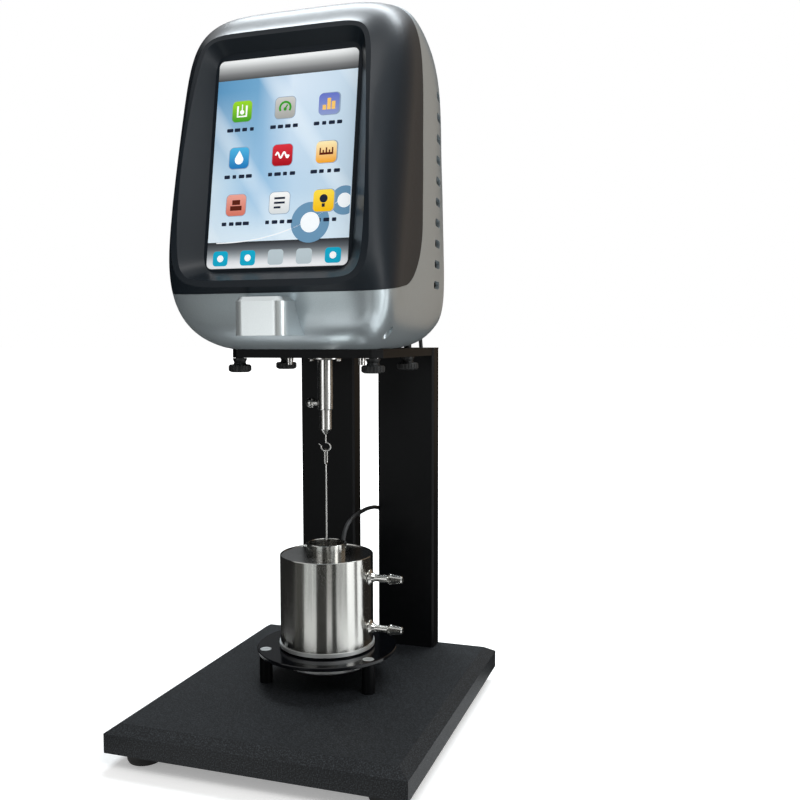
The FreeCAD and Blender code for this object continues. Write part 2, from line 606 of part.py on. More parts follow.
def gear(teeth, width, bore, phase):
    """Spur gear from z = 0 up; six outline points a tooth, thinned by the backlash."""
    pitch_r = GEAR_MODULE * teeth / 2
    levels = ((pitch_r - 1.2 * GEAR_MODULE, 0.72), (pitch_r, 0.5), (pitch_r + 0.9 * GEAR_MODULE, 0.28))
    step = 2 * math.pi / teeth
    thin = GEAR_BACKLASH / 2 / pitch_r
    points = []
    for i in range(teeth):
        middle = phase + i * step
        rising = [(r, middle - share * step / 2 + thin) for r, share in levels]
        falling = [(r, middle + share * step / 2 - thin) for r, share in reversed(levels)]
        points += [V(r * math.cos(a), r * math.sin(a), 0) for r, a in rising + falling]
    wheel = Part.Face(Part.makePolygon(points + points[:1])).extrude(V(0, 0, width))
    return wheel.cut(Part.makeCylinder(bore, width + 2, V(0, 0, -1)))


def make_gears():
    big = gear(SPINDLE_TEETH, GEAR_WIDTH, SHAFT_RADIUS, math.pi / 2)
    for i in range(4):
        a = math.pi / 4 + i * math.pi / 2
        big = big.cut(Part.makeCylinder(5.0, GEAR_WIDTH + 2, V(14 * math.cos(a), 14 * math.sin(a), -1)))
    hub = Part.makeCylinder(7.0, 4.0, V(0, 0, -4.0)).cut(Part.makeCylinder(SHAFT_RADIUS, 6.0, V(0, 0, -5.0)))
    pin = Part.makeCylinder(1.0, GEAR_WIDTH + 4.5, V(SPRING_RADIUS + SPRING_STRIP + 1.0, 0, 0))
    big = big.fuse([hub, pin]).removeSplitter()
    big.translate(V(0, SPINDLE_Y, GEAR_LOW))
    keep("spindle_gear", big)
    half_step = math.pi / PINION_TEETH
    small = gear(PINION_TEETH, GEAR_WIDTH, MOTOR_SHAFT_RADIUS, -math.pi / 2 + half_step)
    small.translate(V(0, MOTOR_Y, GEAR_LOW))
    keep("motor_pinion", small)
    keep("motor_shaft", post(0, MOTOR_Y, GEAR_LOW - 2, BRACKET_TOP + 8, MOTOR_SHAFT_RADIUS))


def make_motor():
    half = MOTOR_SIDE / 2
    body = box(-half, half, MOTOR_Y - half, MOTOR_Y + half, BRACKET_TOP, MOTOR_TOP)
    edges = [e for e in body.Edges if abs(e.tangentAt(e.FirstParameter).z) > 0.99]
    body = body.makeChamfer(4.0, edges)
    boss = post(0, MOTOR_Y, BRACKET_LOW + 1, BRACKET_TOP, 11.0)
    hole = post(0, MOTOR_Y, BRACKET_LOW, BRACKET_TOP + 8.3, MOTOR_SHAFT_RADIUS + 0.05)
    keep("drive_motor", body.fuse(boss).removeSplitter().cut(hole))

    y0, y1 = SPINDLE_Y - 22.0, MOTOR_Y + half - 2.0
    bracket = box(-44, 44, y0, y1, BRACKET_LOW, BRACKET_TOP)
    bracket = bracket.cut(post(0, SPINDLE_Y, BRACKET_LOW - 1, BRACKET_TOP + 1, 12.0))
    bracket = bracket.cut(post(0, MOTOR_Y, BRACKET_LOW - 1, BRACKET_TOP + 1, 11.1))
    posts = []
    for x in (-38, 38):
        for y in (y0 + 6, y1 - 6):
            posts.append(post(x, y, CHASSIS_TOP, BRACKET_LOW, 3.5))
    keep("motor_bracket", bracket)
    keep("bracket_posts", *posts)


def make_bearings():
    flange_top = CHASSIS_TOP + 4.0
    top = CHASSIS_TOP + 21.0
    keep("bearing_housing", turned([
        (BEARING_RADIUS, PLATE_LOW + 0.2), (HOUSING_RADIUS, PLATE_LOW + 0.2),
        (HOUSING_RADIUS, CHASSIS_TOP), (17.0, CHASSIS_TOP), (17.0, flange_top),
        (HOUSING_RADIUS + 1.5, flange_top), (HOUSING_RADIUS + 1.5, top), (BEARING_RADIUS, top),
        (BEARING_RADIUS, top - BEARING_WIDTH), (BEARING_RADIUS - 1.2, top - BEARING_WIDTH),
        (BEARING_RADIUS - 1.2, PLATE_LOW + 0.2 + BEARING_WIDTH),
        (BEARING_RADIUS, PLATE_LOW + 0.2 + BEARING_WIDTH)]))
    inner, outer = SHAFT_RADIUS + 0.03, BEARING_RADIUS - 0.02
    third = (outer - inner) / 3
    for name, low in (("lower_bearing", PLATE_LOW + 0.2), ("upper_bearing", top - BEARING_WIDTH)):
        high = low + BEARING_WIDTH
        keep(name, turned([
            (inner, low), (inner + third, low), (inner + third, low + 0.6), (outer - third, low + 0.6),
            (outer - third, low), (outer, low), (outer, high), (outer - third, high),
            (outer - third, high - 0.6), (inner + third, high - 0.6), (inner + third, high),
            (inner, high)]))


def make_sensor_parts():
    """Spiral torsion spring on the gear, slotted disc and its fork sensor."""
    turns, steps = 3, 20
    inner_r, outer_r = SHAFT_RADIUS + 0.1, SPRING_RADIUS
    count = turns * steps
    low = SPRING_LOW

    def spiral(offset):
        points = []
        for i in range(count + 1):
            a = 2 * math.pi * i / steps
            r = inner_r + (outer_r - inner_r) * i / count + offset
            points.append(V(r * math.cos(a), r * math.sin(a) + SPINDLE_Y, low))
        return points

    outline = spiral(0) + spiral(SPRING_STRIP)[::-1]
    keep("torsion_spring", Part.Face(Part.makePolygon(outline + outline[:1])).extrude(V(0, 0, 3.0)))

    disc = turned([(SHAFT_RADIUS, ENCODER_LOW - 2), (7.0, ENCODER_LOW - 2), (7.0, ENCODER_LOW),
                   (ENCODER_RADIUS, ENCODER_LOW), (ENCODER_RADIUS, ENCODER_LOW + 1),
                   (SHAFT_RADIUS, ENCODER_LOW + 1)])
    slots = []
    for i in range(ENCODER_SLOTS):
        slot = box(ENCODER_RADIUS - 4, ENCODER_RADIUS - 1.2, -0.6, 0.6, ENCODER_LOW - 1, ENCODER_LOW + 2)
        slot.rotate(V(0, 0, 0), Z_AXIS, 360.0 * i / ENCODER_SLOTS)
        slot.translate(V(0, SPINDLE_Y, 0))
        slots.append(slot)
    keep("encoder_disc", disc.cut(slots))

    back = SPINDLE_Y - ENCODER_RADIUS - 1.0
    fork = box(-5, 5, back - 6, back + 6, ENCODER_LOW - 5, ENCODER_LOW + 6)
    fork = fork.cut(box(-6, 6, back, back + 7, ENCODER_LOW - 1, ENCODER_LOW + 2))
    stalk = box(-5, 5, back - 6, back - 3, BRACKET_TOP, ENCODER_LOW - 5)
    keep("encoder_sensor", fork.fuse(stalk).removeSplitter())


# Head casing

def outline_steps():
    """Directions of the outline points, closer together near the corners, and their
    distances along the outline, the same for every slice."""
    steps, along = [], [0.0]
    for i in range(HEAD_POINTS + 1):
        u = 2 * math.pi * (i + 0.5) / HEAD_POINTS
        t = u + 0.14 * math.sin(4 * u)
        size = (abs(math.cos(t)) ** 7 + abs(math.sin(t)) ** 7) ** (-1 / 7)
        steps.append((t, size * math.cos(t), size * math.sin(t)))
    for before, after in zip(steps, steps[1:]):
        along.append(along[-1] + math.hypot(after[1] - before[1], after[2] - before[2]))
    return [t for t, x, z in steps[:-1]], along


def head_outline(piece, inset=0.0, shift=0.0, curved=False):
    """Closed curve round one slice of the head: a trapezoid with rounded corners."""
    y_ref, lean, w_low, w_high, z_low, z_high, n_low, n_high = piece
    w_low, w_high, z_low, z_high = w_low - inset, w_high - inset, z_low + inset, z_high - inset
    middle, half = (z_low + z_high) / 2, (z_high - z_low) / 2
    directions, along = outline_steps()
    points = []
    for t in directions:
        c, s = math.cos(t), math.sin(t)
        n = n_high if s > 0 else n_low
        size = (abs(c) ** n + abs(s) ** n) ** (-1 / n)
        z = middle + half * size * s
        width = w_low + (w_high - w_low) * (z - z_low) / (z_high - z_low)
        y = face_y(z) if curved else y_ref + lean * (z - HEAD_REFERENCE)
        points.append(V(width * size * c, y + shift, HEAD_Z + z))
    curve = Part.BSplineCurve()
    curve.interpolate(Points=points, PeriodicFlag=True, Parameters=along)
    return Part.Wire([curve.toShape()])


def face_y(z):
    """Side view of the front face, bulging forward between its low and high points."""
    t = (z - FACE_LOW_Z) / (FACE_HIGH_Z - FACE_LOW_Z)
    return FACE_LOW_Y + (FACE_HIGH_Y - FACE_LOW_Y) * t - 4 * FACE_BULGE * t * (1 - t)


def head_block(inset=0.0, past_rear=0.0):
    wires = [head_outline(HEAD_FRONT_SLICE, inset), head_outline(HEAD_RIM_SLICE, inset, curved=True)]
    wires += [head_outline(piece, inset) for piece in HEAD_BODY_SLICES]
    if past_rear:
        wires.append(head_outline(HEAD_BODY_SLICES[-1], inset, past_rear))
    return Part.makeLoft(wires, True, False)


def behind_face():
    """Everything behind the curved front face."""
    steps = 8
    low, high = -30.0, 290.0
    edge = [(face_y(low + (high - low) * i / steps), HEAD_Z + low + (high - low) * i / steps)
            for i in range(steps + 1)]
    curve = Part.BSplineCurve()
    curve.interpolate([V(-150, y, z) for y, z in edge])
    back = Part.makePolygon([V(-150, *edge[-1]), V(-150, 200, HEAD_Z + high),
                             V(-150, 200, HEAD_Z + low), V(-150, *edge[0])])
    wire = Part.Wire([curve.toShape()] + back.Edges)
    return Part.Face(wire).extrude(V(300, 0, 0))


def seam_y(z):
    return SEAM_BACK_Y + SEAM_LEAN * (z - HEAD_REFERENCE)


def seam_z(y):
    return SEAM_LOW_Z + SEAM_RISE * (y - SEAM_LOW_Y)


def corner_arc(before, corner, after, radius):
    """Tangent arc of a given radius between two lines that meet at corner."""
    to_before, to_after = (before - corner).normalize(), (after - corner).normalize()
    half = to_before.getAngle(to_after) / 2
    reach = radius / math.tan(half)
    start, end = corner + to_before * reach, corner + to_after * reach
    bisector = (to_before + to_after).normalize()
    middle = corner + bisector * (radius / math.sin(half) - radius)
    return start, middle, end


def bezel_zone():
    """Region ahead of the seam: the seam runs back under the screen and turns up the side."""
    z = seam_z(SEAM_BACK_Y)
    corner = V(-150, seam_y(z), HEAD_Z + z)
    front = V(-150, -200, HEAD_Z + seam_z(-200))
    top = V(-150, seam_y(300), HEAD_Z + 300)
    start, middle, end = corner_arc(front, corner, top, SEAM_CORNER)
    edges = [Part.makeLine(front, start), Part.Arc(start, middle, end).toShape(),
             Part.makeLine(end, top), Part.makeLine(top, V(-150, -200, HEAD_Z + 300)),
             Part.makeLine(V(-150, -200, HEAD_Z + 300), front)]
    return Part.Face(Part.Wire(edges)).extrude(V(300, 0, 0))


def on_screen(shape):
    """Lean a shape built upright at the origin and put it on the screen's low edge."""
    shape.rotate(V(0, 0, 0), X_AXIS, -SCREEN_LEAN)
    shape.translate(V(0, SCREEN_Y, HEAD_Z + SCREEN_Z))
    return shape


def behind_floor(depth):
    """Everything more than depth behind the screen's face."""
    return on_screen(box(-200, 200, depth, 400, -300, 400))


def pocket():
    """Recess in the bezel: flat floor round the screen, sides that slope out past the face."""
    low = SCREEN_Z - POCKET_MARGIN
    high = SCREEN_Z + SCREEN_HEIGHT * math.cos(math.radians(SCREEN_LEAN)) + POCKET_TOP_MARGIN
    half = SCREEN_WIDTH / 2 + POCKET_MARGIN
    y_ref = SCREEN_Y + FACE_LEAN * (HEAD_REFERENCE - SCREEN_Z)
    floor = head_outline((y_ref, FACE_LEAN, half, half, low, high, 14.0, 14.0))
    mouth = head_outline((y_ref - POCKET_REACH, FACE_LEAN) + POCKET_MOUTH)
    return Part.makeLoft([floor, mouth], True, True)


def nose_block():
    """Block under the screen: rounded front corners, bevelled top."""
    front, back = NOSE_FRONT, -60.0
    block = box(-NOSE_HALF_WIDTH, NOSE_HALF_WIDTH, front, back, HEAD_Z + NOSE_LOW, HEAD_Z + NOSE_HIGH)
    upright = [e for e in block.Edges if abs(e.tangentAt(e.FirstParameter).z) > 0.99
               and e.CenterOfMass.y < front + 1]
    block = block.makeFillet(NOSE_CORNER, upright)
    top = [e for e in block.Edges if e.CenterOfMass.z > HEAD_Z + NOSE_HIGH - 0.1
           and e.CenterOfMass.y < back - 1 and e.BoundBox.YMin < back - 1]
    return block.makeChamfer(NOSE_BEVEL, top)


def vents():
    slots = []
    for i in range(VENT_COUNT):
        z = HEAD_Z + VENT_FIRST + i * VENT_PITCH
        for side in (-1, 1):
            x0, x1 = sorted((side * 60.0, side * 95.0))
            slot = box(x0, x1, VENT_FRONT, VENT_BACK, z, z + VENT_HEIGHT)
            ends = [e for e in slot.Edges if abs(e.tangentAt(e.FirstParameter).x) > 0.99]
            slots.append(slot.makeFillet(VENT_HEIGHT / 2 - 0.2, ends))
    return slots


def rear_y(z):
    piece = HEAD_BODY_SLICES[-1]
    return piece[0] + piece[1] * (z - HEAD_REFERENCE)


def make_casing():
    block = head_block().common(behind_face()).common(box(-150, 150, -200, 200, HEAD_Z, HEAD_Z + 300))
    hollow = head_block(HEAD_WALL, 12.0).common(behind_floor(FLOOR_THICKNESS))
    hollow = hollow.common(box(-150, 150, -200, 200, CHASSIS_LOW, HEAD_Z + 300))
    zone = bezel_zone()

    bezel = block.common(zone).cut(hollow).cut(pocket())
    glass_hole = rounded_block(SCREEN_WIDTH + 0.4, SCREEN_HEIGHT + 0.4, 20.0, SCREEN_CORNER + 0.2)
    glass_hole.translate(V(0, GLASS_THICKNESS - 20.0, -0.2))
    window = rounded_block(SCREEN_WIDTH - 4, SCREEN_HEIGHT - 4, 30.0, SCREEN_CORNER)
    window.translate(V(0, -10, 2))
    bezel = bezel.cut(on_screen(glass_hole)).cut(on_screen(window))

    below_seam = zone.translated(V(0, SEAM_GAP, -SEAM_GAP))
    shell = block.cut(below_seam).cut(hollow)
    added = [nose_block().cut(hollow).cut(below_seam)]
    holes = vents()
    lugs, threads = [], []
    y = CHIN_SCREW_Y
    for side in (-1, 1):
        x = side * CHIN_SCREW_X
        x0, x1 = sorted((x - side * BOSS_RADIUS, side * (HEAD_BODY_SLICES[0][2] + 5.0)))
        lug = box(x0, x1, y - BOSS_RADIUS, y + BOSS_RADIUS, HEAD_Z + CHIN_LUG_LOW, HEAD_Z + CHIN_POST_TOP)
        pin = post(x, y, HEAD_Z + CHIN_BOSS_TOP + 0.1, HEAD_Z + CHIN_POST_TOP, CHIN_POST_RADIUS)
        lugs.append(lug.common(block).fuse(pin).removeSplitter())
        threads.append(post(x, y, HEAD_Z, HEAD_Z + CHIN_BOSS_TOP + 12, M3_RADIUS + THREAD_GAP))
        boss = post(x, y, HEAD_Z, HEAD_Z + CHIN_BOSS_TOP, CHIN_RECESS_RADIUS + 2.0)
        added.append(boss.common(block))
        holes.append(post(x, y, HEAD_Z - 1, HEAD_Z + CHIN_SEAT, CHIN_RECESS_RADIUS))
        holes.append(post(x, y, HEAD_Z, HEAD_Z + CHIN_BOSS_TOP + 1, M3_RADIUS + 0.2))
    keep("front_bezel", bezel.fuse(lugs).cut(threads))

    for x, z in BOSS_PLACES:
        y = rear_y(z) - PANEL_THICKNESS - 1.3
        added.append(rod(BOSS_RADIUS, (x, y - BOSS_LENGTH, HEAD_Z + z), Y_AXIS, BOSS_LENGTH).common(block))
        x0, x1 = sorted((x, math.copysign(100.0, x)))
        web = box(x0, x1, y - BOSS_LENGTH, y, HEAD_Z + z - BOSS_WEB / 2, HEAD_Z + z + BOSS_WEB / 2)
        added.append(web.common(block))
        holes.append(rod(M3_RADIUS + THREAD_GAP, (x, y - 10, HEAD_Z + z), Y_AXIS, 12))
    for x, y in thumb_places().values():
        holes.append(post(x, y, HEAD_Z - 1, CHASSIS_TOP + 3, M6_CLEAR))
    for side in (-1, 1):
        holes.append(post(side * HEAD_SCREW_X, SPINDLE_Y, HEAD_Z - 1, CHASSIS_LOW + 1, M4_CLEAR))
    holes.append(post(0, SPINDLE_Y, HEAD_Z - 1, CHASSIS_LOW + 1, HOUSING_RADIUS + 0.1))
    shell = shell.fuse(added).cut(holes)
    keep("head_shell", shell)


def make_chassis():
    half = CHASSIS_WIDTH / 2
    plate = box(-half, half, -40, 76, CHASSIS_LOW, CHASSIS_TOP)
    plate = plate.common(head_block(HEAD_WALL + FIT_GAP, 12.0))
    plate = plate.cut(post(0, SPINDLE_Y, CHASSIS_LOW - 1, CHASSIS_TOP + 1, HOUSING_RADIUS + 0.1))
    for x, y in thumb_places().values():
        plate = plate.cut(post(x, y, CHASSIS_LOW - 1, CHASSIS_TOP + 1, M6_RADIUS + THREAD_GAP))
    for side in (-1, 1):
        plate = plate.cut(post(side * HEAD_SCREW_X, SPINDLE_Y, CHASSIS_LOW - 1, CHASSIS_TOP + 1,
                               M4_RADIUS + THREAD_GAP))
    keep("head_chassis", plate)


def make_display():
    glass = rounded_block(SCREEN_WIDTH, SCREEN_HEIGHT, GLASS_THICKNESS, SCREEN_CORNER)
    keep("screen_glass", on_screen(glass))
    module = rounded_block(SCREEN_WIDTH + 4, SCREEN_HEIGHT + 2, MODULE_DEPTH, 2.0)
    module.translate(V(0, FLOOR_THICKNESS, -1))
    keep("display_module", on_screen(module))
    board_front = FLOOR_THICKNESS + MODULE_DEPTH + BOARD_GAP
    board = box(-46, 46, board_front, board_front + BOARD_THICKNESS, 16, 136)
    chips = [box(-20, 8, board_front + BOARD_THICKNESS, board_front + BOARD_THICKNESS + 2.5, 60, 88),
             box(16, 34, board_front + BOARD_THICKNESS, board_front + BOARD_THICKNESS + 9, 22, 44),
             box(-40, -30, board_front + BOARD_THICKNESS, board_front + BOARD_THICKNESS + 7, 96, 128)]
    keep("main_board", on_screen(board.fuse(chips)))
    spacers = []
    for x in (-42, 42):
        for z in (20, 132):
            spacers.append(on_screen(rod(2.5, (x, board_front - BOARD_GAP, z), Y_AXIS, BOARD_GAP)))
    keep("board_spacers", *spacers)


def make_rear_panel():
    piece = HEAD_BODY_SLICES[-1]
    inset = HEAD_WALL + FIT_GAP
    panel = Part.makeLoft([head_outline(piece, inset, -PANEL_THICKNESS - 1.0),
                           head_outline(piece, inset, -1.0)], True, True)
    screws = []
    for x, z in BOSS_PLACES:
        face = rear_y(z) - 1.0
        panel = panel.cut(rod(M3_RADIUS + 0.2, (x, face - 10, HEAD_Z + z), Y_AXIS, 20))
        screws.append(cap_screw(x, face + 0.14, HEAD_Z + z, Y_AXIS * -1, M3_RADIUS, M3_HEAD_RADIUS,
                                M3_HEAD_HEIGHT, PANEL_THICKNESS + 7))
    for side in (-1, 1):
        screws.append(cap_screw(side * CHIN_SCREW_X, CHIN_SCREW_Y, HEAD_Z + CHIN_SEAT, Z_AXIS,
                                M3_RADIUS, M3_HEAD_RADIUS, M3_HEAD_HEIGHT, 15.0))
    keep("case_screws", *screws)

    face = rear_y(INLET_Z) - 1.0
    half_w, half_h = INLET_WIDTH / 2 + 2, INLET_HEIGHT / 2 + 2
    z = HEAD_Z + INLET_Z
    hole = box(INLET_X - half_w - 0.2, INLET_X + half_w + 0.2, face - 20, face + 20,
               z - half_h - 0.2, z + half_h + 0.2)
    body = box(INLET_X - half_w, INLET_X + half_w, face - 18, face + 1, z - half_h, z + half_h)
    rim = box(INLET_X - half_w - 8, INLET_X + half_w + 8, face + 0.6, face + 2.6, z - half_h - 2,
              z + half_h + 2)
    upright = [e for e in rim.Edges if abs(e.tangentAt(e.FirstParameter).y) > 0.99]
    rim = rim.makeFillet(3.0, upright)
    cavity = box(INLET_X - INLET_WIDTH / 2, INLET_X + INLET_WIDTH / 2, face + 2.6 - INLET_DEPTH,
                 face + 10, z - INLET_HEIGHT / 2, z + INLET_HEIGHT / 2)
    keep("power_inlet", body.fuse(rim).removeSplitter().cut(cavity))
    pins = []
    for dx, dz in ((-7, -2), (7, -2), (0, 3)):
        pins.append(box(INLET_X + dx - 1, INLET_X + dx + 1, face + 2.6 - INLET_DEPTH, face - 3,
                        z + dz - 2, z + dz + 2))
    keep("inlet_pins", *pins)
    panel = panel.cut(hole)

    face = rear_y(SWITCH_Z) - 1.0
    z = HEAD_Z + SWITCH_Z
    pivot = face - 2.0
    frame = box(SWITCH_X - 9.5, SWITCH_X + 9.5, face - 15, face, z - 13, z + 13)
    frame = frame.fuse(box(SWITCH_X - 11, SWITCH_X + 11, face + 0.7, face + 2.7, z - 15, z + 15))
    frame = frame.fuse(box(SWITCH_X - 9.5, SWITCH_X + 9.5, face, face + 0.8, z - 13, z + 13))
    swing = rod(ROCKER_RADIUS + 0.35, (SWITCH_X - ROCKER_WIDTH / 2 - 0.35, pivot, z), X_AXIS,
                ROCKER_WIDTH + 0.7)
    frame = frame.cut(swing).removeSplitter()
    keep("switch_frame", frame)
    panel = panel.cut(box(SWITCH_X - 9.7, SWITCH_X + 9.7, face - 20, face + 20, z - 13.2, z + 13.2))
    drum = rod(ROCKER_RADIUS, (SWITCH_X - ROCKER_WIDTH / 2, pivot, z), X_AXIS, ROCKER_WIDTH)
    for turn in (-1, 1):
        cutter = box(SWITCH_X - 20, SWITCH_X + 20, pivot + 6.6, pivot + 30, z - 30, z + 30)
        cutter.rotate(V(SWITCH_X, pivot + 6.6, z), X_AXIS, turn * ROCKER_TILT)
        drum = drum.cut(cutter)
    drum.rotate(V(SWITCH_X, pivot, z), X_AXIS, -ROCKER_TILT)
    keep("power_switch", drum)

    face = rear_y(DATA_Z) - 1.0
    z = HEAD_Z + DATA_Z
    port = box(DATA_X - 15.4, DATA_X + 15.4, face + 0.5, face + 1.5, z - 6.2, z + 6.2)
    port = port.fuse(box(DATA_X - 9.5, DATA_X + 9.5, face - 10, face + 0.6, z - 5.2, z + 5.2))
    skirt = [V(DATA_X - 8.4, face + 1.4, z + 4.1), V(DATA_X + 8.4, face + 1.4, z + 4.1),
             V(DATA_X + 6.9, face + 1.4, z - 4.1), V(DATA_X - 6.9, face + 1.4, z - 4.1)]
    port = port.fuse(Part.Face(Part.makePolygon(skirt + skirt[:1])).extrude(V(0, 5.6, 0)))
    keep("data_port", port.removeSplitter())
    panel = panel.cut(box(DATA_X - 9.7, DATA_X + 9.7, face - 20, face + 20, z - 5.4, z + 5.4))

    face = rear_y(SOCKET_Z) - 1.0
    start = (SOCKET_X, face, HEAD_Z + SOCKET_Z)
    keep("probe_socket", turned_along([(0, -10), (5.8, -10), (5.8, 0.4), (8.0, 0.4), (8.0, 3.0),
                                       (5.0, 3.0), (5.0, 5.0), (0, 5.0)], start, Y_AXIS))
    panel = panel.cut(rod(6.0, (SOCKET_X, face - 20, HEAD_Z + SOCKET_Z), Y_AXIS, 40))
    keep("rear_panel", panel)
    return face


# Temperature probe and its cable

def cable_route(socket_face):
    """Points of the cable, chosen by hand: up from the jacket, back between the columns,
    down behind the right column in a slack loop, and up to the socket at the rear."""
    plug_end = socket_face + 5.0 + PLUG_LENGTH
    z = HEAD_Z + SOCKET_Z
    return [V(PROBE_X, PROBE_Y, PROBE_TOP), V(*PROBE_AIM), V(9.5, 44.0, 151.5),
            V(8.5, 66.0, 152.0), V(6.0, 92.0, 150.5), V(5.0, 117.0, 147.0),
            V(8.5, 135.0, 138.5), V(11.0, 141.0, 117.0), V(12.5, 142.5, 92.0),
            V(18.2, 142.5, 77.5), V(31.7, 142.5, 71.0), V(45.2, 142.5, 77.5),
            V(51.0, 142.5, 92.0), V(50.7, 142.5, 122.0), V(48.5, 142.0, 180.0),
            V(44.0, 142.0, 232.0), V(39.0, 142.5, 270.0), V(SOCKET_X + 0.5, 143.0, 298.0),
            V(SOCKET_X, 141.0, 317.0), V(SOCKET_X, plug_end + 13.0, z - 0.6),
            V(SOCKET_X, plug_end, z)]


def make_cable(socket_face):
    points = cable_route(socket_face)
    edges, radii = [], []
    last = points[0]
    for before, corner, after in zip(points, points[1:], points[2:]):
        to_before, to_after = before - corner, after - corner
        half_turn = (math.pi - to_before.getAngle(to_after)) / 2
        radius = 0.45 * min(to_before.Length, to_after.Length) / math.tan(half_turn)
        radii.append(radius)
        start, middle, end = corner_arc(before, corner, after, radius)
        edges += [Part.LineSegment(last, start).toShape(), Part.Arc(start, middle, end).toShape()]
        last = end
    edges.append(Part.LineSegment(last, points[-1]).toShape())
    path = Part.Wire(edges)
    section = Part.Wire([Part.makeCircle(CABLE_RADIUS, points[0], points[1] - points[0])])
    tube = path.makePipeShell([section], True, False)
    print("cable length", round(path.Length, 1), "volume ratio",
          round(tube.Volume / (math.pi * CABLE_RADIUS ** 2 * path.Length), 4))
    print("cable bend radii", [round(r, 1) for r in radii])
    keep("probe_cable", tube)

    z = HEAD_Z + SOCKET_Z
    seat = socket_face + 5.0
    keep("probe_plug", turned_along([(0, 0), (7.2, 0), (7.2, 9.0), (5.6, 10.0), (5.6, 16.0),
                                     (4.2, 18.0), (CABLE_RADIUS + 0.6, PLUG_LENGTH), (0, PLUG_LENGTH)],
                                    (SOCKET_X, seat, z), Y_AXIS))


def make_probe():
    direction = V(*PROBE_AIM) - V(PROBE_X, PROBE_Y, PROBE_TOP)
    tube = post(PROBE_X, PROBE_Y, LID_TOP - PROBE_DEPTH, LID_TOP + 1, PROBE_RADIUS)
    head = turned([(0, LID_TOP), (2.6, LID_TOP), (2.6, PROBE_TOP - 2.0),
                   (CABLE_RADIUS + 0.5, PROBE_TOP - 1.2), (0, PROBE_TOP - 1.2)], PROBE_X, PROBE_Y)
    collar = rod(CABLE_RADIUS + 0.5, V(PROBE_X, PROBE_Y, PROBE_TOP) - direction.normalize() * 1.8,
                 direction, 1.8)
    keep("temperature_probe", tube.fuse([head, collar]).removeSplitter())


def make_all():
    make_base()
    make_feet()
    make_columns()
    make_top_plate()
    make_head_screws()
    make_thumb_screws()
    make_tray()
    make_jacket()
    make_cup()
    make_barbs()
    make_flange()
    make_sleeve()
    make_hook()
    make_rotor()
    make_gears()
    make_motor()
    make_bearings()
    make_sensor_parts()
    make_casing()
    make_chassis()
    make_display()
    socket_face = make_rear_panel()
    make_probe()
    make_cable(socket_face)


def write_all():
    os.makedirs("parts", exist_ok=True)
    for name, shape in PARTS.items():
        shape.exportStep("parts/" + name + ".step")
    print(len(PARTS), "nodes")


make_all()
write_all()
for name, shape in PARTS.items():
    if not shape.isValid() or any(s.Volume <= 0 for s in shape.Solids) or not shape.Solids:
        print("check", name, shape.isValid(), len(shape.Solids))
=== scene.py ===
# %% [markdown]
# A rotational rheometer turns a bob in a cup of liquid and measures how hard the liquid holds it.
# The solid pieces come packed from CAD and are never moved here. This lesson gives them their
# finishes, draws a picture on the touch screen, lays the probe's cable and lights the bench.
# Lengths are written in millimetres where a maker would, and turned to metres by one factor.

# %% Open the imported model
import json
import math

import bmesh
import bpy
from mathutils import Matrix, Vector


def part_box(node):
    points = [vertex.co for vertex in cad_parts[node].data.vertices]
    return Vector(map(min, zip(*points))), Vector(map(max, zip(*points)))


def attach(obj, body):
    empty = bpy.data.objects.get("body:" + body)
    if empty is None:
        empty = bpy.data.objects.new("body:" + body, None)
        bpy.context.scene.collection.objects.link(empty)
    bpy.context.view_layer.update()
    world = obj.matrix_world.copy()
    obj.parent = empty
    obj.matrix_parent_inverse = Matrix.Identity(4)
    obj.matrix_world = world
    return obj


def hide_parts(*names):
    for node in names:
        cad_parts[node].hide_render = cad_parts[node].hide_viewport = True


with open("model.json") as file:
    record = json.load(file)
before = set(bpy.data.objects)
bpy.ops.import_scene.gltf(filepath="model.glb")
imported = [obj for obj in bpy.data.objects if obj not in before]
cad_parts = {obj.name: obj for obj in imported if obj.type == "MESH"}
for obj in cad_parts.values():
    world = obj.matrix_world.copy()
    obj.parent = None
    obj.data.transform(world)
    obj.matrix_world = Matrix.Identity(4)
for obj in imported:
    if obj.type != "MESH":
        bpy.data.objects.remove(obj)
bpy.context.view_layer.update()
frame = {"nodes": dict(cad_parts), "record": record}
nodes = frame["nodes"]
MM = 0.001

# %% [markdown]
# Colours are written as the sRGB hex values that a paint chart gives. Shaders work in linear
# light, so one function turns the first into the second. The others add a node, start a material
# and vary its colour, its roughness or its surface by a pattern of noise.

# %% Colours and nodes
NOISE_RANGE = (0.3, 0.7)


def colour(code):
    """Linear colour from a hex code, by the sRGB curve."""
    parts = [int(code[i:i + 2], 16) / 255 for i in (1, 3, 5)]
    linear = [c / 12.92 if c <= 0.04045 else ((c + 0.055) / 1.055) ** 2.4 for c in parts]
    return (*linear, 1.0)


def add(tree, kind, inputs=None, **settings):
    """Add one node with its settings; inputs holds values or the sockets to link from."""
    made = tree.nodes.new(kind)
    for name, value in settings.items():
        setattr(made, name, value)
    for key, value in (inputs or {}).items():
        if isinstance(value, bpy.types.NodeSocket):
            tree.links.new(value, made.inputs[key])
        else:
            made.inputs[key].default_value = value
    return made


def start_material(name, base, roughness, metallic=0.0, **more):
    """A material with one Principled shader; more holds other constant sockets by name."""
    material = bpy.data.materials.new(name)
    material.use_nodes = True
    tree = material.node_tree
    shader = tree.nodes["Principled BSDF"]
    shader.inputs["Base Color"].default_value = colour(base)
    shader.inputs["Roughness"].default_value = roughness
    shader.inputs["Metallic"].default_value = metallic
    for key, value in more.items():
        shader.inputs[key.replace("_", " ")].default_value = value
    return material, tree, shader


def maths(tree, operation, *values):
    return add(tree, "ShaderNodeMath", dict(enumerate(values)), operation=operation).outputs[0]


def own_place(tree):
    """The place of each point in the piece's own coordinates."""
    return add(tree, "ShaderNodeTexCoord").outputs["Object"]


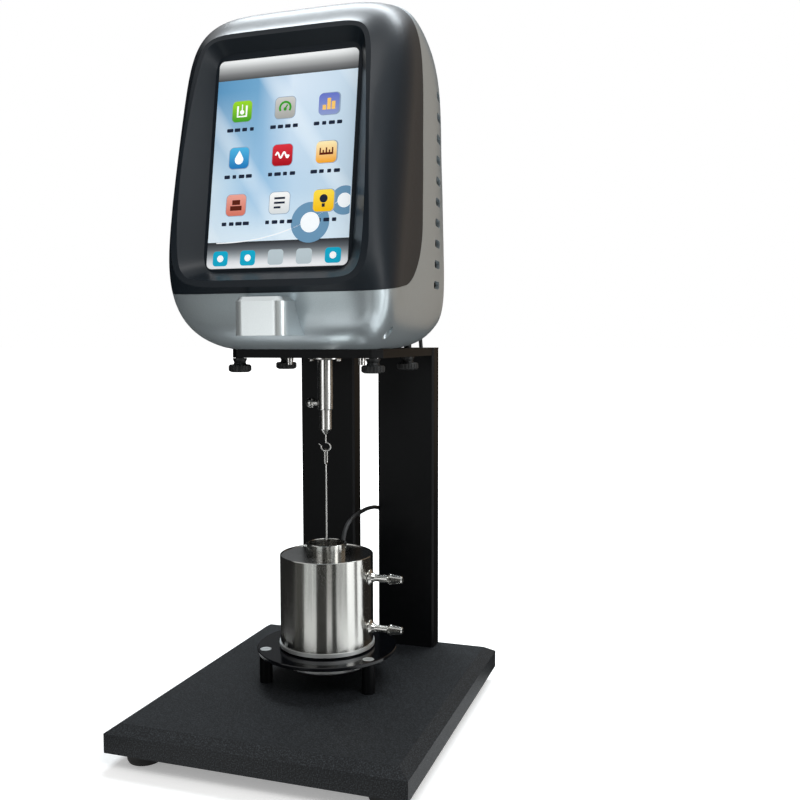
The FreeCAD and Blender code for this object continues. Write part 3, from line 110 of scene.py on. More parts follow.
def own_axis(tree, axis):
    """One of the three numbers of that place: 0 for x, 1 for y, 2 for z."""
    return add(tree, "ShaderNodeSeparateXYZ", {0: own_place(tree)}).outputs[axis]


def grain(tree, size, stretch=(1, 1, 1), detail=2.0):
    """Noise whose spots are about size mm across; stretch makes them longer along an axis."""
    scale = [1 / (s * size * MM) for s in stretch]
    scaled = add(tree, "ShaderNodeMapping", {"Vector": own_place(tree), "Scale": scale})
    return add(tree, "ShaderNodeTexNoise", {"Vector": scaled.outputs[0], "Scale": 1.0,
                                            "Detail": detail}).outputs[0]


def blend(tree, amount, low, high):
    return add(tree, "ShaderNodeMix", {0: amount, 6: low, 7: high}, data_type="RGBA").outputs[2]


def between(tree, value, start, end, low=0.0, high=1.0):
    """Low where value is at start, high where it is at end, and even steps between them."""
    return add(tree, "ShaderNodeMapRange", {0: value, 1: start, 2: end, 3: low, 4: high}).outputs[0]


def shade(tree, shader, amount, low, high):
    """Vary the colour between two hex values by a pattern."""
    tree.links.new(blend(tree, amount, colour(low), colour(high)), shader.inputs["Base Color"])


def spread(tree, shader, amount, low, high):
    """Vary the roughness between low and high by a pattern of noise."""
    tree.links.new(between(tree, amount, *NOISE_RANGE, low, high), shader.inputs["Roughness"])


def emboss(tree, shader, height, depth, strength):
    """Raise the surface by a pattern; depth is in mm."""
    bump = add(tree, "ShaderNodeBump",
               {"Height": height, "Distance": depth * MM, "Strength": strength})
    tree.links.new(bump.outputs[0], shader.inputs["Normal"])


# %% [markdown]
# The camera repeats the photograph's view. Its place and angles were worked out from the straight
# edges of the base, the columns and the screen. Three angles turn into three axes: right, up and
# back, which are the columns of the camera's matrix.

# %% Camera
CAMERA_PLACE = Vector((274.96, -646.62, 294.2)) * MM
YAW, PITCH, ROLL = (math.radians(a) for a in (18.78, 4.1, -0.15))
IMAGE_SIZE = 800
FOCAL_PIXELS = 921.77
CENTRE_PIXEL = (388.38, 406.4)
SENSOR = 36.0

flat = math.cos(PITCH)
ahead = Vector((-math.sin(YAW) * flat, math.cos(YAW) * flat, -math.sin(PITCH)))
level = Vector((math.cos(YAW), math.sin(YAW), 0))
upward = level.cross(ahead)
right = level * math.cos(ROLL) + upward * math.sin(ROLL)
up = upward * math.cos(ROLL) - level * math.sin(ROLL)
facing = Matrix((right, up, -ahead)).transposed().to_4x4()

lens = bpy.data.cameras.new("photo_view")
lens.sensor_width = SENSOR
lens.lens = FOCAL_PIXELS / IMAGE_SIZE * SENSOR
lens.shift_x = (IMAGE_SIZE / 2 - CENTRE_PIXEL[0]) / IMAGE_SIZE
lens.shift_y = (CENTRE_PIXEL[1] - IMAGE_SIZE / 2) / IMAGE_SIZE
lens.clip_start = 0.05
camera = bpy.data.objects.new("photo_view", lens)
camera.matrix_world = Matrix.Translation(CAMERA_PLACE) @ facing
bpy.context.scene.collection.objects.link(camera)
bpy.context.scene.camera = camera
print("camera", [round(c, 3) for c in camera.location], "lens", round(lens.lens, 2))

# %% [markdown]
# The cable of the temperature probe is a free cord. Its line is one smooth spline, and the points
# are the ones that the CAD route uses, so the spline keeps its length and clears the stand.

# %% Probe cable
CABLE_DIAMETER = 3.4
CABLE_ROUTE = [
    (5.5, 31.5, 133.4), (6.3, 34.0, 144.2), (9.5, 44.0, 151.5), (8.5, 66.0, 152.0),
    (6.0, 92.0, 150.5), (5.0, 117.0, 147.0), (8.5, 135.0, 138.5), (11.0, 141.0, 117.0),
    (12.5, 142.5, 92.0), (18.2, 142.5, 77.5), (31.7, 142.5, 71.0), (45.2, 142.5, 77.5),
    (51.0, 142.5, 92.0), (50.7, 142.5, 122.0), (48.5, 142.0, 180.0), (44.0, 142.0, 232.0),
    (39.0, 142.5, 270.0), (36.5, 143.0, 298.0), (36.0, 141.0, 317.0), (36.0, 128.185, 327.4),
    (36.0, 115.185, 328.0),
]


def put_in_scene(name, data):
    """An object with this mesh, curve or lamp, linked into the scene."""
    made = bpy.data.objects.new(name, data)
    bpy.context.scene.collection.objects.link(made)
    return made


def spline_through(name, points, radius):
    """A round tube along a NURBS spline with these control points, in mm."""
    curve = bpy.data.curves.new(name, "CURVE")
    curve.dimensions = "3D"
    curve.bevel_depth = radius * MM
    curve.bevel_resolution = 6
    curve.resolution_u = 12
    spline = curve.splines.new("NURBS")
    spline.points.add(len(points) - 1)
    for point, place in zip(spline.points, points):
        point.co = (*(Vector(place) * MM), 1.0)
    spline.order_u = 3
    spline.use_endpoint_u = True
    return put_in_scene(name, curve)


cable = spline_through("probe_cable_lead", CABLE_ROUTE, CABLE_DIAMETER / 2)
runs = [math.dist(a, b) for a, b in zip(CABLE_ROUTE, CABLE_ROUTE[1:])]
print("cable points", len(CABLE_ROUTE), "runs of", round(min(runs)), "to", round(max(runs)), "mm")

# %% [markdown]
# The stand and the knobs are all black, yet each black is another one in the photograph: coarse
# powder coat on the base, smooth paint on the uprights, wet-looking enamel on the ring, moulded
# plastic on the knobs and rubber under it all. What tells them apart is grain and gloss, so each
# gets its own roughness and its own pattern.

# %% Black finishes
def powder_coat():
    """Polyester powder coat with a fine texture: sandy and dull. Its colour follows the grain, with
    painted shade in the pits and pale specks on the peaks that are painted highlights of side light.
    The real grain is 0.5 mm; it is drawn at 0.9 mm so that it shows."""
    material, tree, shader = start_material("black_textured_powder_coat", "#15171A", 0.6,
                                            Specular_IOR_Level=0.25)
    speck = grain(tree, 0.9, detail=3.0)
    # painted light: the low spots of the grain are coloured darker as shade, the high ones paler as
    # highlights
    grain_light_ramp = add(tree, "ShaderNodeValToRGB", {0: speck})
    pit_shade, peak_highlight = grain_light_ramp.color_ramp.elements
    pit_shade.position, pit_shade.color = 0.45, colour("#0C0E10")
    peak_highlight.position, peak_highlight.color = 0.75, colour("#34383C")
    tree.links.new(grain_light_ramp.outputs[0], shader.inputs["Base Color"])
    emboss(tree, shader, speck, 0.2, 0.7)
    return material


def satin_paint():
    """Sprayed two-pack paint on steel flats: even, with a soft sheen and faint orange peel."""
    material, tree, shader = start_material("satin_black_paint", "#060708", 0.42,
                                            Specular_IOR_Level=0.12)
    shade(tree, shader, grain(tree, 30.0), "#050607", "#08090B")
    emboss(tree, shader, grain(tree, 2.2), 0.02, 0.5)
    return material


def gloss_enamel():
    """Stoved enamel: deep black with a sharp reflection."""
    material, tree, shader = start_material("gloss_black_enamel", "#06070A", 0.14,
                                            Specular_IOR_Level=0.35)
    emboss(tree, shader, grain(tree, 4.0), 0.01, 0.4)
    return material


def moulded_plastic(name, base, roughness):
    """Glass-filled nylon and ABS from a spark-eroded mould: a fine, even leather-like grain."""
    material, tree, shader = start_material(name, base, roughness)
    emboss(tree, shader, grain(tree, 0.6), 0.03, 0.5)
    return material


def rubber():
    """Moulded black rubber: very dull, a little grey in patches of dust."""
    material, tree, shader = start_material("black_rubber", "#1A1A1A", 0.85)
    shade(tree, shader, grain(tree, 5.0), "#151515", "#242424")
    return material


# %% [markdown]
# The metals are turned, drawn or plated. A lathe leaves fine rings round the axis, so the jacket
# and the cup get an anisotropic gloss. Its tangent runs round Z and is turned by a quarter, which
# pulls each highlight into an upright streak. Streaks of slightly different grey along the height
# are a painted reflection of the room's upright bands, drawn into the steel's colour.

# %% Metal finishes
def turned_steel():
    """Stainless steel finished on a lathe: rings too fine to see, and upright streaks of painted
    reflection in its colour.
    """
    material, tree, shader = start_material("turned_stainless_steel", "#CFCFCC", 0.2, 1.0,
                                            Anisotropic=0.75, Anisotropic_Rotation=0.25)
    streak = grain(tree, 1.6, (1, 1, 40), detail=3.0)
    # painted reflection: upright streaks of lighter and darker grey in the steel's colour
    shade(tree, shader, streak, "#ACABA7", "#CFCFCB")
    spread(tree, shader, streak, 0.15, 0.22)
    tangent = add(tree, "ShaderNodeTangent", direction_type="RADIAL", axis="Z")
    tree.links.new(tangent.outputs[0], shader.inputs["Tangent"])
    return material


def polished_steel():
    """Ground and polished steel of the spindle line: bright, faint lengthwise lines."""
    material, tree, shader = start_material("polished_steel", "#C9C8C6", 0.2, 1.0)
    spread(tree, shader, grain(tree, 0.8, (1, 1, 20)), 0.14, 0.28)
    return material


def plain_metal(name, base, roughness, size):
    """Plated, cast or cut metal with a soft cloudy sheen of a given size in mm."""
    material, tree, shader = start_material(name, base, roughness, 1.0)
    spread(tree, shader, grain(tree, size), roughness - 0.06, roughness + 0.08)
    return material


# %% [markdown]
# The head is moulded plastic. The shell is sprayed with a metallic silver: tiny flakes under a
# satin lacquer, with the nose coloured a lighter silver than the rest. The bezel is plain black ABS
# with a soft sheen. The circuit board inside and the cable of the probe follow.

# %% Head and cable finishes
NOSE_BACK, NOSE_FRONT = -94.0, -100.5


def silver_paint():
    """Metallic spray paint on ABS: half metal, half lacquer, with flakes drawn at 0.5 mm. The
    foremost part, the nose, is coloured a lighter silver."""
    material, tree, shader = start_material("silver_metallic_paint", "#BCC2C3", 0.3, 0.75,
                                            Coat_Weight=0.2, Coat_Roughness=0.15)
    flake = grain(tree, 0.5, detail=1.0)
    front = between(tree, own_axis(tree, 1), NOSE_BACK * MM, NOSE_FRONT * MM)
    paint = blend(tree, flake, colour("#AAB4B8"), colour("#C3CCD0"))
    # the nose is coloured a lighter silver than the rest of the shell
    lighter_nose_silver = blend(tree, flake, colour("#CFD6D7"), colour("#E0E6E7"))
    tree.links.new(blend(tree, front, paint, lighter_nose_silver), shader.inputs["Base Color"])
    return material


def bezel_plastic():
    """Black ABS with a fine satin grain."""
    material, tree, shader = start_material("satin_black_abs", "#10181F", 0.36,
                                            Specular_IOR_Level=0.3)
    emboss(tree, shader, grain(tree, 0.5), 0.01, 0.25)
    return material


def circuit_board():
    """Green solder resist over copper: two greens where tracks lie under it."""
    material, tree, shader = start_material("green_solder_resist", "#0F5A32", 0.35)
    shade(tree, shader, grain(tree, 3.0, (1, 8, 1)), "#0B4526", "#1B7A45")
    return material


def rubbery_lead():
    """Soft PVC jacket of the probe cable: matt black with a faint sheen."""
    material, tree, shader = start_material("soft_black_pvc", "#121212", 0.5)
    spread(tree, shader, grain(tree, 6.0), 0.42, 0.58)
    return material


# %% [markdown]
# Each CAD node shows the finish of its slot in the record, so the finishes are made once and
# handed out by slot name. The nodes keep their meshes; only their material slots change. The
# jacket's cap and the screws of the tray are a paler steel than their slot says. The cable stands
# in for the one packed from CAD.

# %% Hand out the finishes
nylon = moulded_plastic("black_moulded_nylon", "#0E0F10", 0.5)
finishes = {
    "powder_black": powder_coat(),
    "satin_black": satin_paint(),
    "gloss_black": gloss_enamel(),
    "rubber": rubber(),
    "cable_rubber": rubbery_lead(),
    "steel": plain_metal("zinc_plated_steel", "#B4B6B8", 0.32, 1.5),
    "stainless": turned_steel(),
    "bright_steel": polished_steel(),
    "silver_plastic": silver_paint(),
    "bezel_plastic": bezel_plastic(),
    "black_plastic": nylon,
    "board_green": circuit_board(),
    "brass": plain_metal("cut_brass", "#C8A24E", 0.3, 1.0),
    "aluminium": plain_metal("milled_aluminium", "#B8BABC", 0.4, 2.0),
    "spring_steel": plain_metal("blued_spring_steel", "#3B4657", 0.3, 1.5),
}


def dress(piece, material):
    piece.data.materials.clear()
    piece.data.materials.append(material)


for row in frame["record"]["subparts"]:
    if row["material_slot"] in finishes:
        dress(nodes[row["node"]], finishes[row["material_slot"]])
pale_steel = plain_metal("bead_blasted_steel", "#D6D8D8", 0.5, 1.0)
for name in ("jacket_base", "tray_screws"):
    dress(nodes[name], pale_steel)
dress(cable, finishes["cable_rubber"])
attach(cable, "stand")
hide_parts("probe_cable")

# %% [markdown]
# The screen is lit from within and lies behind polished glass. One material paints its background
# from the place on the glass: a grey bar at the top and bottom, pale blue between them, and soft
# slanting light bands. The pieces of the picture are thin plates that lie on it.

# %% Screen background
SCREEN_LEAN = math.radians(9.46)
SCREEN_SIZE = (105.2, 149.2)
SCREEN_FOOT = Vector((0, -75.9, 343.8)) * MM
SCREEN_GLOW = 0.2
BAR_TOP, HEADER_FOOT = 0.124, 0.902
UPPER_SKY = [(0.01, "#5E96BF"), (0.3, "#6FA3C8"), (0.55, "#D3E2F0"), (0.99, "#C4D8E8")]
LOWER_SKY = [(0.01, "#CBDFEC"), (0.35, "#8FBADB"), (0.6, "#B9D2E6"), (0.99, "#BFD4E4")]
BAR_GREYS = [(0.01, "#F2F4F6"), (0.03, "#DFE1E5"), (0.05, "#B4BABE"), (0.068, "#8A9094"),
             (0.09, "#5F6469"), (0.12, "#34363A"), (0.9, "#46484A"), (0.93, "#7C7D7E"),
             (0.96, "#B4B6B6"), (0.99, "#EDEFEF")]
BAND_RATE = 11.0

screen_right = Vector((1, 0, 0))
screen_up = Vector((0, math.sin(SCREEN_LEAN), math.cos(SCREEN_LEAN)))
screen_out = Vector((0, -math.cos(SCREEN_LEAN), math.sin(SCREEN_LEAN)))
screen_turn = Matrix((screen_right, screen_up, screen_out)).transposed().to_4x4()
on_screen = Matrix.Translation(SCREEN_FOOT) @ screen_turn


def screen_glow(tree, shader, source):
    """Let a screen colour shine: it is seen as written, with the glass's gloss on top."""
    tree.links.new(source, shader.inputs["Base Color"])
    tree.links.new(source, shader.inputs["Emission Color"])
    shader.inputs["Emission Strength"].default_value = SCREEN_GLOW


def ramp(tree, amount, stops):
    """A colour ramp with these (position, hex) stops."""
    made = add(tree, "ShaderNodeValToRGB", {0: amount})
    for position, code in stops:
        made.color_ramp.elements.new(position).color = colour(code)
    made.color_ramp.elements.remove(made.color_ramp.elements[0])
    made.color_ramp.elements.remove(made.color_ramp.elements[-1])
    return made.outputs[0]


def screen_background():
    """The sky is painted across at two heights, blended down, and crossed by slanting bands."""
    material, tree, shader = start_material("touch_screen_glass", "#9CC4E0", 0.08)
    rise = SCREEN_SIZE[1] * MM * math.cos(SCREEN_LEAN)
    height = between(tree, own_axis(tree, 2), SCREEN_FOOT.z, SCREEN_FOOT.z + rise)
    half = SCREEN_SIZE[0] * MM / 2
    across = between(tree, own_axis(tree, 0), -half, half)

    down = between(tree, height, 0.85, 0.4)
    sky = blend(tree, down, ramp(tree, across, UPPER_SKY), ramp(tree, across, LOWER_SKY))
    sky = blend(tree, between(tree, height, 0.35, 0.15), sky, colour("#D3E4F0"))
    slant = maths(tree, "MULTIPLY", maths(tree, "ADD", across, height), BAND_RATE)
    band = between(tree, maths(tree, "SINE", slant), 0.5, 1.0, 0.0, 0.35)
    sky = blend(tree, band, sky, colour("#EEF6FC"))

    bars = ramp(tree, height, BAR_GREYS)
    middle, reach = (BAR_TOP + HEADER_FOOT) / 2, (HEADER_FOOT - BAR_TOP) / 2
    inside = maths(tree, "COMPARE", height, middle, reach)
    screen_glow(tree, shader, blend(tree, inside, bars, sky))
    return material


def screen_colour(name, code):
    """A plate of the picture in one colour."""
    return start_material(name, code, 0.1, Emission_Color=colour(code),
                          Emission_Strength=SCREEN_GLOW)[0]


def screen_fade(name, high, low, bottom, top):
    """A plate of the picture that fades from high to low; bottom and top are heights in mm."""
    material, tree, shader = start_material(name, high, 0.1)
    low_place, high_place = (SCREEN_FOOT.z + height * MM for height in (bottom, top))
    rise = between(tree, own_axis(tree, 2), low_place, high_place)
    screen_glow(tree, shader, blend(tree, rise, colour(low), colour(high)))
    return material


dress(nodes["screen_glass"], screen_background())

# %% [markdown]
# A tile, a button and a caption dash are all the same thing: a thin plate with round corners. One
# Geometry Nodes tree makes a whole row of them, so the spacing stays even and every size is an
# input. The tree ends in Realize Instances and Set Material, and its result is kept as a mesh.

# %% Row of plates
PLATE_THICKNESS = 0.06


def new_tree(name, inputs):
    """A Geometry Nodes tree with named inputs: (name, socket type, value)."""
    tree = bpy.data.node_groups.new(name, "GeometryNodeTree")
    for label, kind, value in inputs:
        socket = tree.interface.new_socket(label, in_out="INPUT", socket_type="NodeSocket" + kind)
        if value is not None:
            socket.default_value = value
    tree.interface.new_socket("Geometry", in_out="OUTPUT", socket_type="NodeSocketGeometry")
    return tree, add(tree, "NodeGroupInput").outputs


def close_tree(tree, geometry, material):
    solid = add(tree, "GeometryNodeRealizeInstances", {"Geometry": geometry})
    dressed = add(tree, "GeometryNodeSetMaterial",
                  {"Geometry": solid.outputs[0], "Material": material})
    add(tree, "NodeGroupOutput", {0: dressed.outputs[0]})
    return tree


def run_tree(name, tree, values, place):
    """Run a tree with these input values and keep its result as a plain mesh object."""
    seed = put_in_scene(name + "_seed", bpy.data.meshes.new(name + "_seed"))
    modifier = seed.modifiers.new("nodes", "NODES")
    modifier.node_group = tree
    for item in tree.interface.items_tree:
        if item.in_out == "INPUT" and item.name in values:
            modifier[item.identifier] = values[item.name]
    result = seed.evaluated_get(bpy.context.evaluated_depsgraph_get())
    mesh = bpy.data.meshes.new_from_object(result)
    bpy.data.objects.remove(seed)
    mesh.transform(place)
    mesh.name = name
    print(name, len(mesh.polygons), "faces")
    return put_in_scene(name, mesh)


def plate_row_tree():
    tree, given = new_tree("plate_row", [
        ("Count", "Int", 3), ("Pitch", "Float", 0.03), ("Width", "Float", 0.015),
        ("Height", "Float", 0.015), ("Corner", "Float", 0.003), ("Thickness", "Float", 0.0001),
        ("Uneven", "Float", 0.0), ("Seed", "Int", 0), ("Material", "Material", None)])
    outline = add(tree, "GeometryNodeCurvePrimitiveQuadrilateral",
                  {"Width": given["Width"], "Height": given["Height"]})
    rounded = add(tree, "GeometryNodeFilletCurve",
                  {"Curve": outline.outputs[0], "Radius": given["Corner"], "Count": 5}, mode="POLY")
    face = add(tree, "GeometryNodeFillCurve", {"Curve": rounded.outputs[0]}, mode="NGONS")
    raised = add(tree, "GeometryNodeExtrudeMesh",
                 {"Mesh": face.outputs[0], "Offset Scale": given["Thickness"]}, mode="FACES")
    back = add(tree, "GeometryNodeFlipFaces", {"Mesh": face.outputs[0]})
    both = add(tree, "GeometryNodeJoinGeometry")
    for piece in (raised.outputs[0], back.outputs[0]):
        tree.links.new(piece, both.inputs[0])
    plate = add(tree, "GeometryNodeMergeByDistance",
                {"Geometry": both.outputs[0], "Distance": 1e-6})
    step = add(tree, "ShaderNodeCombineXYZ", {0: given["Pitch"]})
    line = add(tree, "GeometryNodeMeshLine", {"Count": given["Count"], "Offset": step.outputs[0]})
    least = add(tree, "ShaderNodeCombineXYZ",
                {0: maths(tree, "SUBTRACT", 1.0, given["Uneven"]), 1: 1.0, 2: 1.0})
    sizes = add(tree, "FunctionNodeRandomValue",
                {0: least.outputs[0], 1: (1.0, 1.0, 1.0), "Seed": given["Seed"]},
                data_type="FLOAT_VECTOR")
    placed = add(tree, "GeometryNodeInstanceOnPoints",
                 {"Points": line.outputs[0], "Instance": plate.outputs[0],
                  "Scale": sizes.outputs[0]})
    return close_tree(tree, placed.outputs[0], given["Material"])


plate_row = plate_row_tree()
screen_pieces = []


def plates(name, material, x, y, lift=0.05, **sizes):
    """A row of plates on the screen whose first centre is (x, y) mm from the middle of its foot."""
    values = {"Material": material, "Thickness": PLATE_THICKNESS * MM}
    for key, value in sizes.items():
        label = key.title()
        values[label] = value if label in ("Count", "Seed", "Uneven") else value * MM
    place = on_screen @ Matrix.Translation(Vector((x, y, lift)) * MM)
    screen_pieces.append(run_tree(name, plate_row, values, place))


# %% [markdown]
# The picture is a plain menu of the maker's own: coloured tiles with simple signs, caption dashes,
# a flow curve in the lower corner and a few buttons in the bottom bar. It has no words.

# %% Menu tiles
TILE = 15.0
RIM = 0.4
COLUMNS = (-32.5, 0.5, 33.0)
ROWS = (111.5, 78.0, 44.5)
TILE_COLOURS = [
    [("leaf", "#9AD62F", "#3E9A2A"), ("mist", "#C9C8C4", "#A3A39F"), ("violet", "#6674C4", "#8C9AC9")],
    [("azure", "#4FB2DF", "#2273B5"), ("red", "#D8333F", "#A3101C"), ("amber", "#FBE9B4", "#F0A122")],
    [("salmon", "#E8A294", "#D0705E"), ("pearl", "#F4F4F2", "#D3D8DA"), ("sun", "#FBDC4C", "#F2B90F")],
]
CAPTION_START, CAPTION_DROP = -8.4, -13.2

ink = screen_colour("screen_ink", "#20283A")
white = screen_colour("screen_white", "#FFFFFF")
edge = screen_colour("screen_tile_edge", "#8FA3B8")
for row, (y, colours) in enumerate(zip(ROWS, TILE_COLOURS)):
    plates(f"tile_rims_{row}", edge, COLUMNS[0], y, lift=0.02, count=3,
           pitch=COLUMNS[1] - COLUMNS[0], width=TILE + 2 * RIM, height=TILE + 2 * RIM, corner=3.4)
    bottom, top = ((y + v) * math.cos(SCREEN_LEAN) for v in (-TILE / 2, TILE / 2))
    for column, (x, (name, high, low)) in enumerate(zip(COLUMNS, colours)):
        face = screen_fade("screen_" + name, high, low, bottom, top)
        plates("tile_" + name, face, x, y, lift=0.06, count=1, width=TILE, height=TILE, corner=3.0)
        plates(f"caption_{row}_{column}", ink, x + CAPTION_START, y + CAPTION_DROP, lift=0.04,
               count=4, pitch=5.6, width=4.9, height=2.5, corner=0.6, uneven=0.45,
               seed=len(COLUMNS) * row + column + 1)

# %% [markdown]
# The signs on the tiles are small outlines, cut as flat plates. Each one is a short list of
# corners or a formula, in millimetres round the middle of its tile.

# %% Signs on the tiles
SIGN_THICKNESS = 0.05


def sign(name, outlines, material, x, y, lift=0.13):
    """Flat plates with these outlines, (x, y) in mm round the point (x, y) on the screen."""
    shape = bmesh.new()
    for outline in outlines:
        lower, upper = ([shape.verts.new((*corner, height)) for corner in outline]
                        for height in (0, SIGN_THICKNESS))
        shape.faces.new(lower[::-1])
        shape.faces.new(upper)
        for a, b, c, d in zip(lower, lower[1:] + lower[:1], upper[1:] + upper[:1], upper):
            shape.faces.new((a, b, c, d))
    bmesh.ops.recalc_face_normals(shape, faces=shape.faces)
    mesh = bpy.data.meshes.new(name)
    shape.to_mesh(mesh)
    shape.free()
    place = on_screen @ Matrix.Translation(Vector((x, y, lift)) * MM)
    mesh.transform(place @ Matrix.Scale(MM, 4))
    mesh.materials.append(material)
    screen_pieces.append(put_in_scene(name, mesh))


def disc(radius, x=0.0, y=0.0, corners=20):
    turns = [2 * math.pi * i / corners for i in range(corners)]
    return [(x + radius * math.cos(t), y + radius * math.sin(t)) for t in turns]


def ribbon(points, width):
    """A band of even width along a list of points."""
    left_side, right_side = [], []
    for i, (x, y) in enumerate(points):
        before, after = points[max(i - 1, 0)], points[min(i + 1, len(points) - 1)]
        run = Vector((after[0] - before[0], after[1] - before[1])).normalized() * width / 2
        left_side.append((x - run.y, y + run.x))
        right_side.append((x + run.y, y - run.x))
    return left_side + right_side[::-1]


def bar(x, y, width, height):
    return [(x, y), (x + width, y), (x + width, y + height), (x, y + height)]


green_ink = screen_colour("screen_green_ink", "#3C9A2E")
gold = screen_colour("screen_gold", "#F7C56B")
brown = screen_colour("screen_brown", "#5A2418")
beaker = [(-3.4, 4), (-3.4, -3.6), (3.4, -3.6), (3.4, 4)]
arc = [(4 * math.cos(t), 4 * math.sin(t)) for t in [-0.6 + 0.27 * i for i in range(17)]]
wave = [(-5 + 0.4 * i, 2.0 * math.sin(0.5 * i)) for i in range(26)]
drop = [(0, 5.4)] + [(3.3 * math.cos(t), -1.2 + 3.3 * math.sin(t))
                     for t in [0.5 - 4.14 * i / 14 for i in range(15)]]
ticks = [bar(-5 + 2.25 * i, -0.4, 1, 3.4 - i % 2 * 1.6) for i in range(5)]
signs = [
    ("sign_cup", [ribbon(beaker, 1.5), bar(-0.4, 0, 0.8, 5), disc(1.6, 0, -0.6)], white),
    ("sign_dial", [ribbon(arc, 1.5), ribbon([(0, -0.8), (1.7, 2.0)], 1.1), disc(1.2, 0, -1.0)],
     green_ink),
    ("sign_steps", [bar(-4.6, -4, 2.6, 3.4), bar(-1.3, -4, 2.6, 8), bar(2.0, -4, 2.6, 5.6)], gold),
    ("sign_drop", [drop], white),
    ("sign_wave", [ribbon(wave, 1.2)], white),
    ("sign_ruler", [bar(-5, -1.9, 10, 1.5)] + ticks, brown),
    ("sign_stack", [bar(-4.4, -3.8, 8.8, 3.2), bar(-3.0, 0.2, 6.0, 3.4)], brown),
    ("sign_list", [bar(-4, 2.6, 8, 1.4), bar(-4, -0.6, 8, 1.4), bar(-4, -3.8, 5, 1.4)], ink),
    ("sign_lamp", [disc(2.9, 0, 1.4), bar(-1.1, -4.4, 2.2, 2.4)], ink),
]
for (name, outlines, material), (y, x) in zip(signs, [(y, x) for y in ROWS for x in COLUMNS]):
    sign(name, outlines, material, x, y)

# %% [markdown]
# The lower part of the picture has a curve that rises from left to right, two discs, each with a
# paler middle, and five buttons in the bottom bar. The discs are cut off where the screen ends.

# %% Flow curve and bottom bar
DIALS = [(24.0, 30.0, 14.0), (48.0, 44.0, 10.0)]
SCREEN_MARGIN = 0.5
BUTTON_HEIGHT = 7.0

slate = screen_colour("screen_slate", "#6A93B2")
pale = screen_colour("screen_pale", "#F4F8FB")
teal = screen_colour("screen_teal", "#18A7C8")
ash = screen_colour("screen_ash", "#B9C6CC")
curve_points = [(-46 + 4 * i, 18 + 0.00042 * (4 * i) ** 2.45) for i in range(24)]
sign("flow_curve", [ribbon(curve_points, 0.7)], pale, 0, 0, lift=0.02)
for i, (x, y, radius) in enumerate(DIALS):
    limit = SCREEN_SIZE[0] / 2 - SCREEN_MARGIN - x
    whole = [(min(px, limit), py) for px, py in disc(radius, corners=40)]
    middle = [(min(px, limit), py) for px, py in disc(radius / 2, corners=32)]
    sign(f"flow_disc_{i}", [whole], slate, x, y, lift=0.02)
    sign(f"flow_disc_middle_{i}", [middle], pale, x, y, lift=0.09)
buttons = [(-42, teal), (-21, teal), (0, ash), (21, ash), (42, teal)]
for i, (x, material) in enumerate(buttons):
    plates(f"button_{i}", material, x, BUTTON_HEIGHT, lift=0.04, count=1, width=11.5, height=10.5,
           corner=2.4)
marks = [disc(2.4, x, BUTTON_HEIGHT) for x, material in buttons if material is teal]
sign("button_marks", marks, white, 0, 0, lift=0.12)

for piece in screen_pieces:
    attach(piece, "stand")
print("screen pieces", len(screen_pieces))

# %% [markdown]
# The data port is a D-shaped nine-way socket: five holes over four, on a pitch of 2.77 mm and in
# rows 2.84 mm apart. Each hole is a dark disc on the face: painted shade where the hole's depth is
# dark. A small Geometry Nodes tree puts one on each point of a line.

# %% Data port holes
HOLE_PITCH, HOLE_ROW_GAP = 2.77, 2.84


def disc_row_tree():
    tree, given = new_tree("disc_row", [
        ("Count", "Int", 5), ("Pitch", "Float", HOLE_PITCH * MM), ("Radius", "Float", 0.6 * MM),
        ("Length", "Float", 0.1 * MM), ("Material", "Material", None)])
    step = add(tree, "ShaderNodeCombineXYZ", {0: given["Pitch"]})
    line = add(tree, "GeometryNodeMeshLine", {"Count": given["Count"], "Offset": step.outputs[0]})
    hole = add(tree, "GeometryNodeMeshCylinder",
               {"Vertices": 16, "Radius": given["Radius"], "Depth": given["Length"]})
    placed = add(tree, "GeometryNodeInstanceOnPoints",
                 {"Points": line.outputs[0], "Instance": hole.outputs[0],
                  "Rotation": (math.pi / 2, 0, 0)})
    return close_tree(tree, placed.outputs[0], given["Material"])


disc_row = disc_row_tree()
port_low, port_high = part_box("data_port")
port_middle = (port_low + port_high) / 2
# dark discs as painted shade of the socket's holes
for name, count, row in (("port_hole_shades_upper", 5, 0.5), ("port_hole_shades_lower", 4, -0.5)):
    place = Vector((port_middle.x - (count - 1) * HOLE_PITCH * MM / 2, port_high.y,
                    port_middle.z + row * HOLE_ROW_GAP * MM))
    made = run_tree(name, disc_row, {"Count": count, "Material": nylon}, Matrix.Translation(place))
    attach(made, "stand")

# %% [markdown]
# A dark grey sleeve guards the cable where it leaves the probe. It is a short tapered tube along
# the start of the same spline, so its path is read from the finished curve.

# %% Cable sleeve
SLEEVE_RUN = 24.0
SLEEVE_RADIUS, SLEEVE_TAPER = 1.9, 0.3


def spline_places(curve_object):
    """Points along a curve, as a mesh of its bare line gives them."""
    bare = curve_object.copy()
    bare.data = curve_object.data.copy()
    bare.data.bevel_depth = 0
    bpy.context.scene.collection.objects.link(bare)
    result = bare.evaluated_get(bpy.context.evaluated_depsgraph_get())
    places = [v.co.copy() for v in bpy.data.meshes.new_from_object(result).vertices]
    bpy.data.objects.remove(bare)
    return places


